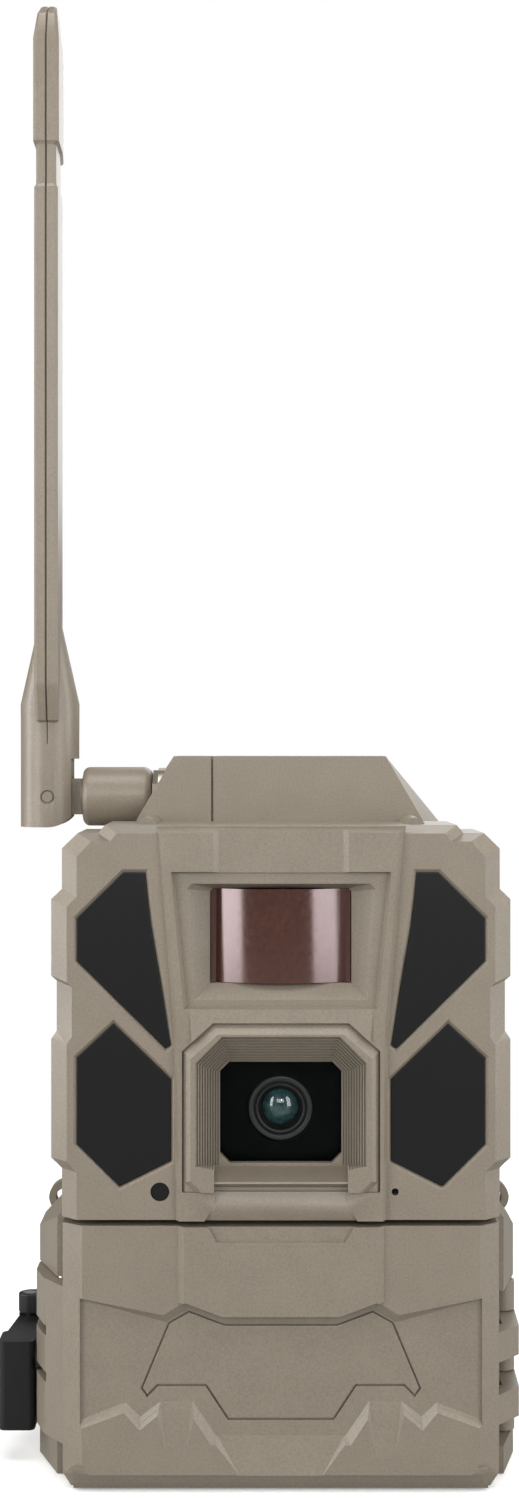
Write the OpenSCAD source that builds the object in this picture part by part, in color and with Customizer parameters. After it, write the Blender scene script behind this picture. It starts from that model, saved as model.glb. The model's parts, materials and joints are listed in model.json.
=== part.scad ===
/* [Body] */
// Width of the upper front shell at its widest
shell_w = 107.8; // [104:0.2:130]
// Height of the upper front shell
shell_h = 91.8; // [86:0.2:111]
// Depth of the body from its front face to its back face
body_d = 72; // [70:1:87]
// Depth of the upper front shell
front_d = 30; // [27:1:34]
// Wall thickness of the shells
wall = 2.2; // [1.8:0.1:2.7]
// Thickness of the front shell's face
face_t = 3.5; // [3.2:0.1:4.2]
// Height of the centre column above the front face
column_d = 1.6; // [1:0.1:2.4]

/* [Door] */
// Width of the door
door_w = 102.4; // [100:0.2:123]
// Height of the door's top edge above the base
door_h = 62.3; // [61:0.1:75]
// Depth of the door
door_d = 13; // [12:0.5:15.5]
// Radius of the hinge knuckles
knuckle_r = 2.9; // [2.6:0.1:3.2]
// Radius of the hinge pin
hinge_pin_r = 1.25; // [1:0.05:1.5]
// Length of the hinge
hinge_len = 36.6; // [30:0.2:44]
// Height of the hinge's lower end
hinge_z = 6.8; // [5:0.2:9]

/* [Top hump] */
// Height of the hump above the rear shell's top
hump_h = 18.4; // [17.6:0.2:22]
// Half-width of the hump's top at the front
hump_top_half = 26.2; // [24:0.2:31]
// Depth of the hump
hump_d = 29; // [26:1:34]

/* [Windows] */
// Distance from the shell's side to the infrared windows
window_margin = 6.3; // [5.6:0.1:7.5]
// Thickness of the infrared windows
window_t = 2; // [1.6:0.1:2.2]
// Half-width of the motion-sensor window
pir_half = 16.4; // [14:0.2:18]
// Height of the motion-sensor window
pir_h = 22; // [18:0.5:25]
// Outer radius of the curved motion-sensor sheet
pir_r = 30; // [26:1:36]
// Half-width of the lens window
glass_half = 14.1; // [12:0.1:15]
// Outer radius of the lens barrel
barrel_r = 7.8; // [6.6:0.1:9.2]

/* [Antenna] */
// Length of the antenna above its knuckle pin
antenna_h = 198.2; // [165:0.2:238]
// Width of the blade from front to back
blade_w = 22; // [18:0.5:26]
// Thickness of the blade
blade_t = 5.9; // [5:0.1:7]
// Radius of the knuckle
joint_r = 7.35; // [6.2:0.05:8]
// Radius of the coupling nut
nut_r = 7.4; // [6.6:0.1:7.9]
// Radius of the knuckle pin
knuckle_pin_r = 1.36; // [1.1:0.02:1.6]

/* [Batteries] */
// Diameter of one cell
cell_dia = 14.4; // [14:0.1:14.6]
// Length of one cell
cell_len = 50.5; // [48:0.5:51]
// Distance between cell centres
cell_pitch = 15.5; // [15.2:0.1:15.7]

/* [Fittings] */
// Radius of the tripod threads, as plain bores
thread_r = 3.2; // [2.6:0.05:4]
// Height of the strap opening
strap_h = 30; // [26:1:40]
// Gap between the strap bar and its plate
strap_gap = 4.6; // [4.2:0.1:6]
// Running clearance of pins
run_gap = 0.05; // [0.02:0.01:0.08]
// Clearance between moving pieces
gap = 0.3; // [0.3:0.05:0.4]

/* [Hidden] */
$fn = 48;

// Colours
housing_colour = [0.56, 0.52, 0.45];
black_colour = [0.12, 0.12, 0.13];
board_colour = [0.1, 0.35, 0.2];
metal_colour = [0.75, 0.75, 0.77];
brass_colour = [0.8, 0.65, 0.3];

// Front-to-back levels: negative is towards the front
face_y = -37;
back_y = face_y + body_d;
split_y = face_y + front_d;
door_back = face_y + door_d;
rim_y = door_back + gap;
front_y = face_y - column_d;
bevel_d = 4;
eps = 0.01;

// Heights
parting = 1.4;
shell_z0 = door_h + parting;
shell_top = shell_z0 + shell_h;
rear_top = shell_top - 2.3;
door_z0 = 0.5;
roof_z = door_h - 1.3;

// Half-widths
shell_half = shell_w / 2;
door_half = door_w / 2;
rear_half = door_half + 1.2;
ear_half = rear_half + 6.8;

// Places an outline drawn in X and Z between two depths
module slab(y0, y1) {
    translate([0, y1, 0]) rotate([90, 0, 0]) linear_extrude(y1 - y0) children();
}

// Places an outline drawn in Y and Z between two widths
module side_slab(x0, x1) {
    translate([x0, 0, 0]) rotate([90, 0, 90]) linear_extrude(x1 - x0) children();
}

// Places an outline drawn in X and Y between two heights
module flat_slab(z0, z1) {
    translate([0, 0, z0]) linear_extrude(z1 - z0) children();
}

// A block between two corners
module block(low, high) {
    translate(low) cube(high - low);
}

// A round bar along Y
module bar_y(x, z, y0, y1, r) {
    translate([x, y0, z]) rotate([-90, 0, 0]) cylinder(h = y1 - y0, r = r);
}

// A round bar along X
module bar_x(y, z, x0, x1, r) {
    translate([x0, y, z]) rotate([0, 90, 0]) cylinder(h = x1 - x0, r = r);
}

// A round bar along Z
module bar_z(x, y, z0, z1, r) {
    translate([x, y, z0]) cylinder(h = z1 - z0, r = r);
}

module both_sides() {
    children();
    mirror([1, 0, 0]) children();
}

function mirrored(points) = concat(points, [for (i = [len(points) - 1:-1:0])
    [-points[i][0], points[i][1]]]);

// ---------------------------------------------------------------- shells

// Side waist heights, counted down from the top edge
waist = [5.5, 15, 17.4, 35.4, 36.5, 48.3, 50.2, 78, 80.5];
step_in = 2.5;
waist_in = 1.3;

function shell_points() = [
    [shell_half - 12.6, shell_top],
    [shell_half - 11, shell_top - 1.9],
    [shell_half - 6.2, shell_top - 1.9],
    [shell_half - step_in, shell_top - waist[0]],
    [shell_half - step_in, shell_top - waist[1]],
    [shell_half, shell_top - waist[2]],
    [shell_half, shell_top - waist[3]],
    [shell_half - waist_in, shell_top - waist[4]],
    [shell_half - waist_in, shell_top - waist[5]],
    [shell_half, shell_top - waist[6]],
    [shell_half, shell_top - waist[7]],
    [shell_half - step_in, shell_top - waist[8]],
    [shell_half - step_in, shell_z0]
];

module shell_outline() {
    polygon(mirrored(shell_points()));
}

module rear_upper_outline() {
    polygon(mirrored([
        [rear_half - 8, rear_top], [rear_half - 1, rear_top - 7],
        [rear_half - 1, door_h + 0.9]
    ]));
}

// Infrared window outlines on the right-hand side
win_out = shell_half - window_margin;
hood_half = 22.9;
win_in = hood_half + 2.7;

function upper_window_points() = [
    [win_out - 10.9, shell_top - 10.9], [win_in + 6, shell_top - 10.9],
    [win_in + 5.4, shell_top - 17], [win_in + 4.6, shell_top - 23.5],
    [win_in + 3.3, shell_top - 31.1], [win_in + 2, shell_top - 38.7],
    [win_in + 0.1, shell_top - 51.2], [win_in + 1.3, shell_top - 52.1],
    [win_out, shell_top - 31.6], [win_out, shell_top - 21.6]
];

function lower_window_points() = [
    [win_out - 8.6, shell_top - 46.1], [win_out, shell_top - 54.1],
    [win_out, shell_top - 74.3], [win_out - 10, shell_top - 84.2],
    [win_in, shell_top - 78.2], [win_in, shell_top - 59.1]
];

module window_outline(upper, inset) {
    offset(delta = -inset) polygon(upper ? upper_window_points() : lower_window_points());
}

// Centre column levels
pir_z = shell_top - 26;
pir_floor = face_y + 4.5;
pir_block_half = 24.2;
hood_top = shell_top - 46.7;
lens_z = shell_top - 67.7;
hood_z0 = lens_z - 17.3;
hood_front = front_y - 1;
hood_back = face_y + 6.5;
sensor_x = 28.2;
sensor_r = 2.15;
sensor_flange_r = 3.4;
microphone_x = 26.6;
microphone_r = 3;
sensor_z = shell_top - 85.3;
chin_half = 15.5;
chin_d = 0.8;
screw_x = shell_half - 11;
screw_top = shell_top - 8.7;
screw_low = shell_z0 + 6.5;
boss_r = 3.2;
screw_r = 1.4;

module hood_outline(extra = 0) {
    polygon(mirrored([
        [15.8 + extra, hood_top + extra], [hood_half + extra, hood_top - 6.4 + extra],
        [hood_half + extra, hood_z0 - extra]
    ]));
}

module screw_places() {
    for (x = [-screw_x, screw_x], z = [screw_low, screw_top]) translate([x, 0, z]) children();
}

// The raised middle of the front, drafted on its sides
module raised_column(points) {
    translate([0, face_y + eps, 0]) rotate([90, 0, 0])
        linear_extrude(column_d + eps, scale = [0.94, 1], slices = 1) polygon(mirrored(points));
}

module front_shell() {
    color(housing_colour) difference() {
        union() {
            difference() {
                union() {
                    slab(face_y + bevel_d, split_y) shell_outline();
                    translate([0, face_y + bevel_d + eps, shell_z0]) rotate([90, 0, 0])
                        linear_extrude(bevel_d + eps, scale = [0.926, 0.98], slices = 1)
                            translate([0, -shell_z0]) shell_outline();
                }
                slab(face_y + bevel_d + 1, split_y + 1) offset(delta = -wall) shell_outline();
                slab(face_y + face_t, face_y + bevel_d + 2) offset(delta = -wall - 4.3) shell_outline();
            }
            raised_column([[27.3, shell_top - 2.6], [24, hood_top - 1], [24, shell_z0]]);
            // Backing of the motion-sensor recess and of the lens hood
            slab(face_y + 1, pir_floor + 2.6) square_between(-pir_block_half, pir_z - 15,
                pir_block_half, pir_z + 14.5);
            slab(face_y + 1, hood_back + wall) hood_outline(2);
            // Screw bosses, joined to the face
            screw_places() bar_y(0, 0, face_y + face_t - 1, split_y, boss_r);
            // Bumps over the screw bosses of the top edge
            for (x = [-31.8, 31.8]) bar_y(x, shell_top - 1, face_y + 9, split_y, 2.6);
            // Posts of the infrared boards
            both_sides() for (z = ir_post_z) bar_y(ir_post_x, z, face_y + face_t - 1, ir_board_y, 1.6);
        }
        // Motion-sensor recess and its window opening
        slab(front_y - 1, pir_floor) polygon(mirrored([
            [22.3, pir_z + pir_h / 2 + 1], [20.2, pir_z - pir_h / 2 - 1.8]
        ]));
        slab(front_y - 1, pir_floor + 9)
            square_between(-pir_half - 0.2, pir_z - pir_h / 2 - 0.1, pir_half + 0.2,
                pir_z + pir_h / 2 + 0.1);
        // Lens hood seat and the way through behind it
        slab(front_y - 1, hood_back) hood_outline();
        // Notch of the chin
        slab(front_y - 1, front_y + chin_d)
            polygon(mirrored([[chin_half, shell_z0 + 2], [chin_half + 2.2, shell_z0 - 1]]));
        slab(hood_back - 1, hood_back + wall + 1) octagon(glass_half + 0.6, 12.4);
        // Light sensor and microphone
        bar_y(-sensor_x, sensor_z, face_y - 1, face_y + face_t + 2, sensor_r + run_gap);
        bar_y(-sensor_x, sensor_z, face_y + face_t, face_y + face_t + 4, sensor_flange_r + run_gap);
        bar_y(microphone_x, sensor_z, face_y - 1, face_y + face_t + 2, 0.85);
        bar_y(microphone_x, sensor_z, face_y + face_t, face_y + face_t + 4, microphone_r + run_gap);
        // Infrared windows: a rebate and a way through
        both_sides() for (upper = [true, false]) {
            slab(face_y - 1, face_y + window_t) window_outline(upper, 0);
            slab(face_y - 1, face_y + face_t + 1) window_outline(upper, 1.4);
        }
        // Screw pilot holes
        screw_places() bar_y(0, 0, face_y + 12, split_y + 1, screw_r);
    }
}

module square_between(x0, z0, x1, z1) {
    translate([x0, z0]) square([x1 - x0, z1 - z0]);
}

// Octagon around the lens axis, with its half-width and half-height
module octagon(half_w, half_h) {
    cut = 2.5;
    translate([0, lens_z]) polygon([
        [half_w - cut, half_h], [half_w, half_h - cut], [half_w, cut - half_h], [half_w - cut, -half_h],
        [cut - half_w, -half_h], [-half_w, cut - half_h], [-half_w, half_h - cut], [cut - half_w, half_h]
    ]);
}

ear_top = door_h + 0.2;
gate_low = hinge_z;
gate_high = hinge_z + hinge_len;
hinge_x = rear_half + 2.2;
hinge_y = face_y + door_d + 13;
catch_low = hinge_z + 3;
catch_high = gate_high + 3.5;
eye_x = rear_half + 2.6;
eye_z = door_h - 4.3;
eye_r = 4.2;
eye_hole_r = 2.1;
eye_y = 14;
jack_y = 22;
jack_z = 22;
jack_r = 2.75;
cover_hinge_z = jack_z + 9.4;
cover_knuckle_r = 1.6;
cover_pin_r = 0.75;
lug_t = 1.6;

// Plan of one side ear, wider towards the back
module ear_plan(x_out) {
    polygon([
        [rear_half - 1, rim_y], [rear_half + 1, rim_y], [x_out, hinge_y + 3],
        [x_out, hinge_y + 17], [rear_half - 1, hinge_y + 26]
    ]);
}

module ear(x_out, low, high) {
    intersection() {
        union() {
            flat_slab(0, low) ear_plan(x_out);
            flat_slab(high, ear_top) ear_plan(x_out);
        }
        slab(rim_y - 1, back_y) polygon([
            [0, -1], [x_out + 1, -1], [x_out + 1, ear_top - 7.4], [rear_half, ear_top], [0, ear_top]
        ]);
    }
}

segment = hinge_len / 5;

module hinge_knuckles(which) {
    for (i = which) bar_z(hinge_x, hinge_y, hinge_z + i * segment + gap / 2,
                          hinge_z + (i + 1) * segment - gap / 2, knuckle_r);
}

tray_x0 = -rear_half + wall + 2;
tray_w = 4 * cell_pitch + 1.6;
tray_x1 = tray_x0 + tray_w;
tray_z0 = 9;
tray_h = 3 * cell_pitch + 2.6;
tray_top = tray_z0 + tray_h;
partition_x = tray_x1 + 1;
partition_t = 1.4;
panel_x0 = partition_x + partition_t;
panel_x1 = rear_half - wall;
panel_y = rim_y + 2.3;
panel_t = 1.6;
insert_r = 5.5;
insert_h = 8;
back_insert_z = 100;
post_end = 5;

module rear_shell() {
    color(housing_colour) difference() {
        union() {
            difference() {
                union() {
                    slab(split_y, back_y) rear_upper_outline();
                    block([-rear_half, rim_y, 0], [rear_half, back_y, door_h + 0.9]);
                }
                // Upper cavity
                slab(split_y - 1, back_y - wall) polygon(mirrored([
                    [rear_half - 8 - wall / 2, rear_top - wall], [rear_half - 1 - wall,
                        rear_top - 7 - wall / 2],
                    [rear_half - 1 - wall, shell_z0 + 1.2]
                ]));
                // Lower compartment, open at the front
                block([-rear_half + wall, rim_y - 1, wall], [rear_half - wall, back_y - wall, roof_z]);
            }
            ear(ear_half - 1.6, gate_low - gap, gate_high + gap);
            mirror([1, 0, 0]) ear(ear_half, catch_low - gap, catch_high + gap);
            hinge_knuckles([0, 2, 4]);
            // Cable-lock eyes
            both_sides() bar_y(eye_x, eye_z, eye_y, eye_y + 4, eye_r);
            // Lugs and pin of the jack cover
            for (y = [jack_y - 3 - gap - lug_t, jack_y + 3 + gap]) {
                block([rear_half - eps, y, cover_hinge_z - cover_knuckle_r],
                      [rear_half + 2, y + lug_t, cover_hinge_z + cover_knuckle_r]);
                bar_y(rear_half + 2, cover_hinge_z, y, y + lug_t, cover_knuckle_r);
            }
            bar_y(rear_half + 2, cover_hinge_z, jack_y - 4, jack_y + 4, cover_pin_r);
            // Partition between the batteries and the controls
            block([partition_x, panel_y + panel_t, wall - eps], [partition_x + partition_t,
                back_y - wall + eps, roof_z + eps]);
            // Rails under and over the battery tray
            for (x = [tray_x0 + 6, tray_x1 - 10]) {
                block([x, rim_y + 4, wall - eps], [x + 4, back_y - wall + eps, tray_z0 - gap]);
                block([x, rim_y + 4, tray_top + gap], [x + 4, back_y - wall + eps, roof_z + eps]);
            }
            // Ledges that the control panel sits on
            block([partition_x, panel_y + panel_t, wall - eps], [panel_x1 + eps, panel_y + panel_t + 2,
                wall + 1.6]);
            block([partition_x, panel_y + panel_t, roof_z - 1.6], [panel_x1 + eps,
                panel_y + panel_t + 2, roof_z + eps]);
            // Seats of the two thread inserts
            bar_z(0, 0, eps, insert_h + 0.4, insert_r + 2);
            bar_y(0, back_insert_z, back_y - insert_h - 1.5, back_y - eps, insert_r + 2);
            // Screw posts
            screw_places() bar_y(0, 0, split_y, back_y - wall + eps, boss_r + 1.4);
            // Posts of the main board
            both_sides() for (z = board_post_z)
                bar_y(board_post_x, z, board_y + board_t, back_y - wall + eps, board_post_r);
        }
        // Clearance for the door's knuckles
        for (i = [1, 3]) bar_z(hinge_x, hinge_y, hinge_z + i * segment - gap / 2,
                               hinge_z + (i + 1) * segment + gap / 2, knuckle_r + gap + 0.1);
        bar_z(hinge_x, hinge_y, hinge_z - 3, gate_high + 3, hinge_pin_r);
        // Room for the latch base beside the left ear
        block([-ear_half - 1, latch_y - 6.5, -1], [-rear_half, hinge_y + 27, latch_z1 + 8]);
        // Eyes, jack, inserts and screw holes
        both_sides() bar_y(eye_x + 0.3, eye_z, eye_y - 1, eye_y + 5, eye_hole_r);
        bar_x(jack_y, jack_z, rear_half - wall - 1, rear_half + 1, jack_r + 0.4);
        bar_z(0, 0, -1, insert_h, insert_r);
        bar_y(0, back_insert_z, back_y - insert_h, back_y + 1, insert_r);
        screw_places() bar_y(0, 0, split_y - 1, back_y + 1, screw_r + 0.2);
        screw_places() bar_y(0, 0, post_end, back_y + 1, boss_r - 0.2);
        // Rebate for the shell gasket
        slab(split_y - eps, split_y + 1.4) difference() {
            offset(delta = -1) rear_gasket_outline();
            offset(delta = -wall - 1) rear_gasket_outline();
        }
        // Wire passage between the two compartments
        block([panel_x0 + 8, 14, roof_z - 1], [panel_x0 + 20, 20, shell_z0 + 2]);
    }
}

module rear_gasket_outline() {
    polygon(mirrored([
        [rear_half - 8, rear_top], [rear_half - 1, rear_top - 7],
        [rear_half - 1, shell_z0]
    ]));
}

module shell_gasket() {
    color(black_colour) slab(split_y, split_y + 1.4) difference() {
        offset(delta = -1) rear_gasket_outline();
        offset(delta = -wall) rear_gasket_outline();
    }
}

module shell_screws() {
    color(metal_colour) screw_places() {
        bar_y(0, 0, face_y + 13, post_end, screw_r);
        difference() {
            bar_y(0, 0, post_end, post_end + 2, boss_r - 0.5);
            translate([0, post_end + 1, 0]) rotate([-90, 0, 0]) cylinder(h = 2, r = 1.3, $fn = 6);
        }
    }
}

// ---------------------------------------------------------------- hump

hump_y0 = split_y;
hump_y1 = split_y + hump_d;
hump_top = rear_top + hump_h;
hump_split = -16.7;
hump_foot = hump_top_half + 10.7;
flare = 6;
ant_y = split_y + 11;
ant_z = rear_top + 8.2;
ant_x = -57.9;
pocket_x = -28.6;
flange_t = 2.5;

module hump_front(inset) {
    polygon([
        [hump_split + inset, rear_top - inset], [hump_split + inset, hump_top - inset],
        [hump_top_half - inset * 0.7, hump_top - inset], [hump_foot - inset * 1.7, rear_top - inset]
    ]);
}

module hump_rear(inset) {
    polygon([
        [hump_split + inset, rear_top - inset], [hump_split + inset, hump_top - inset],
        [hump_top_half + 0.4 - inset * 0.7, hump_top - inset],
        [hump_top_half + flare - inset, hump_top - 5.3 - inset * 0.7],
        [hump_foot + flare - inset * 1.7, rear_top - inset]
    ]);
}

module hump_cover() {
    color(housing_colour) difference() {
        hull() {
            slab(hump_y0, hump_y0 + 0.1) hump_front(0);
            slab(hump_y1 - 0.1, hump_y1) hump_rear(0);
        }
        translate([0, 0, -eps]) hull() {
            slab(hump_y0 + wall, hump_y0 + wall + 0.1) hump_front(wall);
            slab(hump_y1 - wall - 0.1, hump_y1 - wall) hump_rear(wall);
        }
        block([hump_split + wall, hump_y0 + wall, rear_top - 1], [hump_foot - 4, hump_y1 - wall,
            rear_top + 1]);
    }
}

module connector_cover() {
    color(housing_colour) difference() {
        union() {
            slab(hump_y0, hump_y0 + flange_t) polygon([
                [hump_split, rear_top], [hump_split, hump_top], [-hump_top_half, hump_top], [-hump_foot,
                    rear_top]
            ]);
            difference() {
                slab(hump_y0, hump_y1) polygon([
                    [hump_split, rear_top], [hump_split, hump_top], [-hump_top_half, hump_top],
                    [pocket_x, hump_top - 3.6], [pocket_x, rear_top]
                ]);
                slab(hump_y0 + wall, hump_y1 - wall) polygon([
                    [hump_split - wall, rear_top - 1], [hump_split - wall, hump_top - wall],
                    [-hump_top_half + 0.6, hump_top - wall], [pocket_x + wall, hump_top - 3.6 - wall],
                    [pocket_x + wall, rear_top - 1]
                ]);
            }
        }
        bar_x(ant_y, ant_z, pocket_x - 1, pocket_x + wall + 1, stub_r);
    }
}

// ---------------------------------------------------------------- optics

// Steps run from the hood's mouth in to the glass
hood_steps = 7;

module lens_hood() {
    color(housing_colour) difference() {
        slab(hood_front, hood_back) hood_outline();
        for (i = [0:hood_steps]) slab(hood_front - 1, hood_front + 0.8 * (i + 1))
            polygon(mirrored([
                [20 - 0.8 * i - 3, lens_z + 16.6 - 0.65 * i], [20 - 0.8 * i, lens_z + 13.6 - 0.65 * i],
                [20 - 0.8 * i, lens_z - 16 + 0.6 * i]
            ]));
        slab(hood_front - 1, hood_back + 1) octagon(glass_half, 11.9);
    }
}

glass_t = 1.6;
glass_y = hood_back + wall;

module lens_window() {
    color(black_colour) slab(glass_y, glass_y + glass_t) octagon(glass_half + 1.6, 13.2);
}

lens_back = glass_y + glass_t + 13;
lens_front = glass_y + glass_t + 0.5;

module lens_barrel() {
    color(black_colour) difference() {
        union() {
            bar_y(0, lens_z, lens_front + 0.8, lens_back, barrel_r);
            bar_y(0, lens_z, lens_back - 4, lens_back, barrel_r + 1.4);
        }
        bar_y(0, lens_z, lens_front - 1, lens_front + 3, barrel_r - 1.3);
        bar_y(0, lens_z, lens_front - 1, lens_back - 1, barrel_r - 3.6);
    }
}

module lens_ring() {
    color(black_colour) difference() {
        bar_y(0, lens_z, lens_front + 0.4, lens_front + 3, barrel_r - 1.3);
        translate([0, lens_front + 0.4 - eps, lens_z]) rotate([-90, 0, 0])
            cylinder(h = 2.6 + 2 * eps, r1 = barrel_r - 2, r2 = barrel_r - 3.6);
    }
}

module lens_element() {
    color([0.3, 0.5, 0.5]) intersection() {
        bar_y(0, lens_z, lens_front + 0.5, lens_back - 1, barrel_r - 3.6);
        union() {
            translate([0, lens_front + 7.5, lens_z]) sphere(r = 6);
            bar_y(0, lens_z, lens_front + 6, lens_back - 1, barrel_r - 3.6);
        }
    }
}

board_t = 1.6;
board_y = split_y + 4.5;
sensor_board_half = 15;

module image_sensor_board() {
    color(board_colour) {
        slab(lens_back, lens_back + 1.2)
            square_between(-sensor_board_half, lens_z - sensor_board_half, sensor_board_half,
                lens_z + sensor_board_half);
        for (x = [-12.5, 12.5], z = [lens_z - 12.5, lens_z + 12.5]) bar_y(x, z, lens_back + 1.2,
            board_y, 1.6);
    }
}

module ir_window(upper, side) {
    color(black_colour) mirror([side < 0 ? 1 : 0, 0, 0])
        slab(face_y + 0.25, face_y + window_t) window_outline(upper, 0.05);
}

led_r = 1.5;
led_rows = 8;
ir_board_y = face_y + face_t + 2 * (led_r + gap);
ir_board_t = 1.2;
ir_x0 = win_in + 1.5;
ir_x1 = win_out - 0.5;
ir_z0 = shell_top - 82;
ir_z1 = shell_top - 13;
ir_post_x = ir_x1 - 2.2;
ir_post_z = [shell_top - 42.6, shell_top - 15.6, shell_top - 80];

module ir_board(side) {
    color(board_colour) mirror([side < 0 ? 1 : 0, 0, 0])
        slab(ir_board_y, ir_board_y + ir_board_t) square_between(ir_x0 + 1.5, ir_z0, ir_x1, ir_z1);
}

module ir_leds() {
    color([0.3, 0.3, 0.35]) both_sides() for (i = [0:led_rows - 1], x = [win_in + 6.5, win_in + 11.2])
        if (i != 3) {
            z = ir_z0 + 9.5 + 7 * i;
            bar_y(x, z, ir_board_y - led_r - gap, ir_board_y, led_r);
            translate([x, ir_board_y - led_r - gap, z]) sphere(r = led_r);
        }
}

pir_front = pir_floor - 2.5;
pir_flange_y = pir_floor + 2.6;

module pir_window() {
    sweep = asin((pir_half - 0.1) / pir_r);
    color([0.3, 0.19, 0.16]) difference() {
        union() {
            translate([0, pir_front + pir_r, pir_z - pir_h / 2]) rotate([0, 0, -90 - sweep])
                rotate_extrude(angle = 2 * sweep) translate([pir_r - 1, 0]) square([1, pir_h]);
            both_sides() block([pir_half - 1.2, pir_flange_y - 2.6, pir_z - pir_h / 2],
                               [pir_half - 0.1, pir_flange_y + 1.2, pir_z + pir_h / 2]);
            slab(pir_flange_y, pir_flange_y + 1.2) difference() {
                square_between(-pir_half - 3, pir_z - pir_h / 2 - 2.5, pir_half + 3,
                    pir_z + pir_h / 2 + 2.5);
                square_between(-pir_half + 1.2, pir_z - pir_h / 2 + 1, pir_half - 1.2,
                    pir_z + pir_h / 2 - 1);
            }
            for (z = [pir_z - pir_h / 2, pir_z + pir_h / 2 - 1]) intersection() {
                bar_z(0, pir_front + pir_r, z, z + 1, pir_r - 0.5);
                block([-pir_half + 0.1, pir_front, z], [pir_half - 0.1, pir_flange_y + 1.2, z + 1]);
            }
        }
    }
}

module pir_sensor() {
    color(metal_colour) {
        bar_y(0, pir_z, board_y - 4.4, board_y - 0.5, 4.1);
        bar_y(0, pir_z, board_y - 0.5, board_y, 4.6);
    }
}

module light_sensor() {
    color(black_colour) {
        bar_y(-sensor_x, sensor_z, face_y + 0.4, face_y + face_t, sensor_r);
        bar_y(-sensor_x, sensor_z, face_y + face_t, face_y + face_t + 1.5, sensor_flange_r);
    }
}

module microphone() {
    color(black_colour) bar_y(microphone_x, sensor_z, face_y + face_t, face_y + face_t + 2, microphone_r);
}

// ---------------------------------------------------------------- electronics

board_half = rear_half - 6.5;
board_z0 = shell_z0 + 4;
board_z1 = rear_top - 4;
board_post_x = 22;
board_post_r = 2.2;
modem_w = 32;
modem_t = 2.6;
board_post_z = [board_z0 + 6, board_z1 - 6];

module main_board() {
    color(board_colour) difference() {
        slab(board_y, board_y + board_t) intersection() {
            square_between(-board_half, board_z0, board_half, board_z1);
            offset(delta = -wall - gap) rear_upper_outline();
        }
        screw_places() bar_y(0, 0, board_y - 1, board_y + board_t + 1, boss_r + 1.8);
    }
}

module board_parts() {
    color(black_colour) {
        block([-40, board_y - 2, lens_z - 5], [-22, board_y, lens_z + 8]);
        block([20, board_y - 1.6, lens_z + 2], [34, board_y, lens_z + 16]);
        block([24, board_y - 1.2, lens_z - 14], [32, board_y, lens_z - 4]);
        block([-36, board_y - 4, pir_z - 4], [-20, board_y, pir_z + 6]);
        bar_y(30, pir_z, board_y - 9, board_y, 4);
    }
}

module modem_module() {
    x0 = -board_post_x + board_post_r + 1;
    color(metal_colour)
        block([x0, board_y + board_t, pir_z - 16], [x0 + modem_w, board_y + board_t + modem_t, pir_z + 14]);
}

// ---------------------------------------------------------------- door

function relief_points() = mirrored([
    [13.7, door_h - 20.9], [22.2, door_h - 17.7], [27.5, door_h - 20.7], [door_half - 4.9, door_h - 16.9],
    [door_half - 4.9, 16.2], [36.6, 19.9], [32.9, 15.9], [27.8, 20.1], [21, 20.1], [15.7, 12.2]
]);

function panel_points() = mirrored([
    [13.2, door_h - 23.3], [21.4, door_h - 20.2], [26.3, door_h - 22.9], [32.7, door_h - 38.2],
    [31.3, door_h - 40], [28.7, door_h - 37.4], [17.5, door_h - 37.4], [12.4, door_h - 45.3]
]);

relief = 1.2;

module door_outline() {
    polygon(mirrored([[door_half, door_h], [door_half, door_z0 + 3], [door_half - 2, door_z0]]));
}

// Side flange that reaches back outside the rear shell's wall
module flange_plan(x_out, tail_y) {
    polygon([
        [door_half - 1.5, door_back], [door_half - 1.5, door_back - 6], [door_half, door_back - 8],
        [x_out - 2.6, door_back], [x_out, door_back + 8.5], [x_out, tail_y],
        [x_out - 3, tail_y], [x_out - 3, door_back + 9], [rear_half + 0.6, door_back + 1],
            [rear_half + 0.6, door_back]
    ]);
}

catch_out = ear_half;
catch_tail = split_y - 1.2;
groove_d = 2;
groove_y0 = catch_tail - 6.4;
groove_y1 = catch_tail - 3;
slot_h = 2.4;

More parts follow.
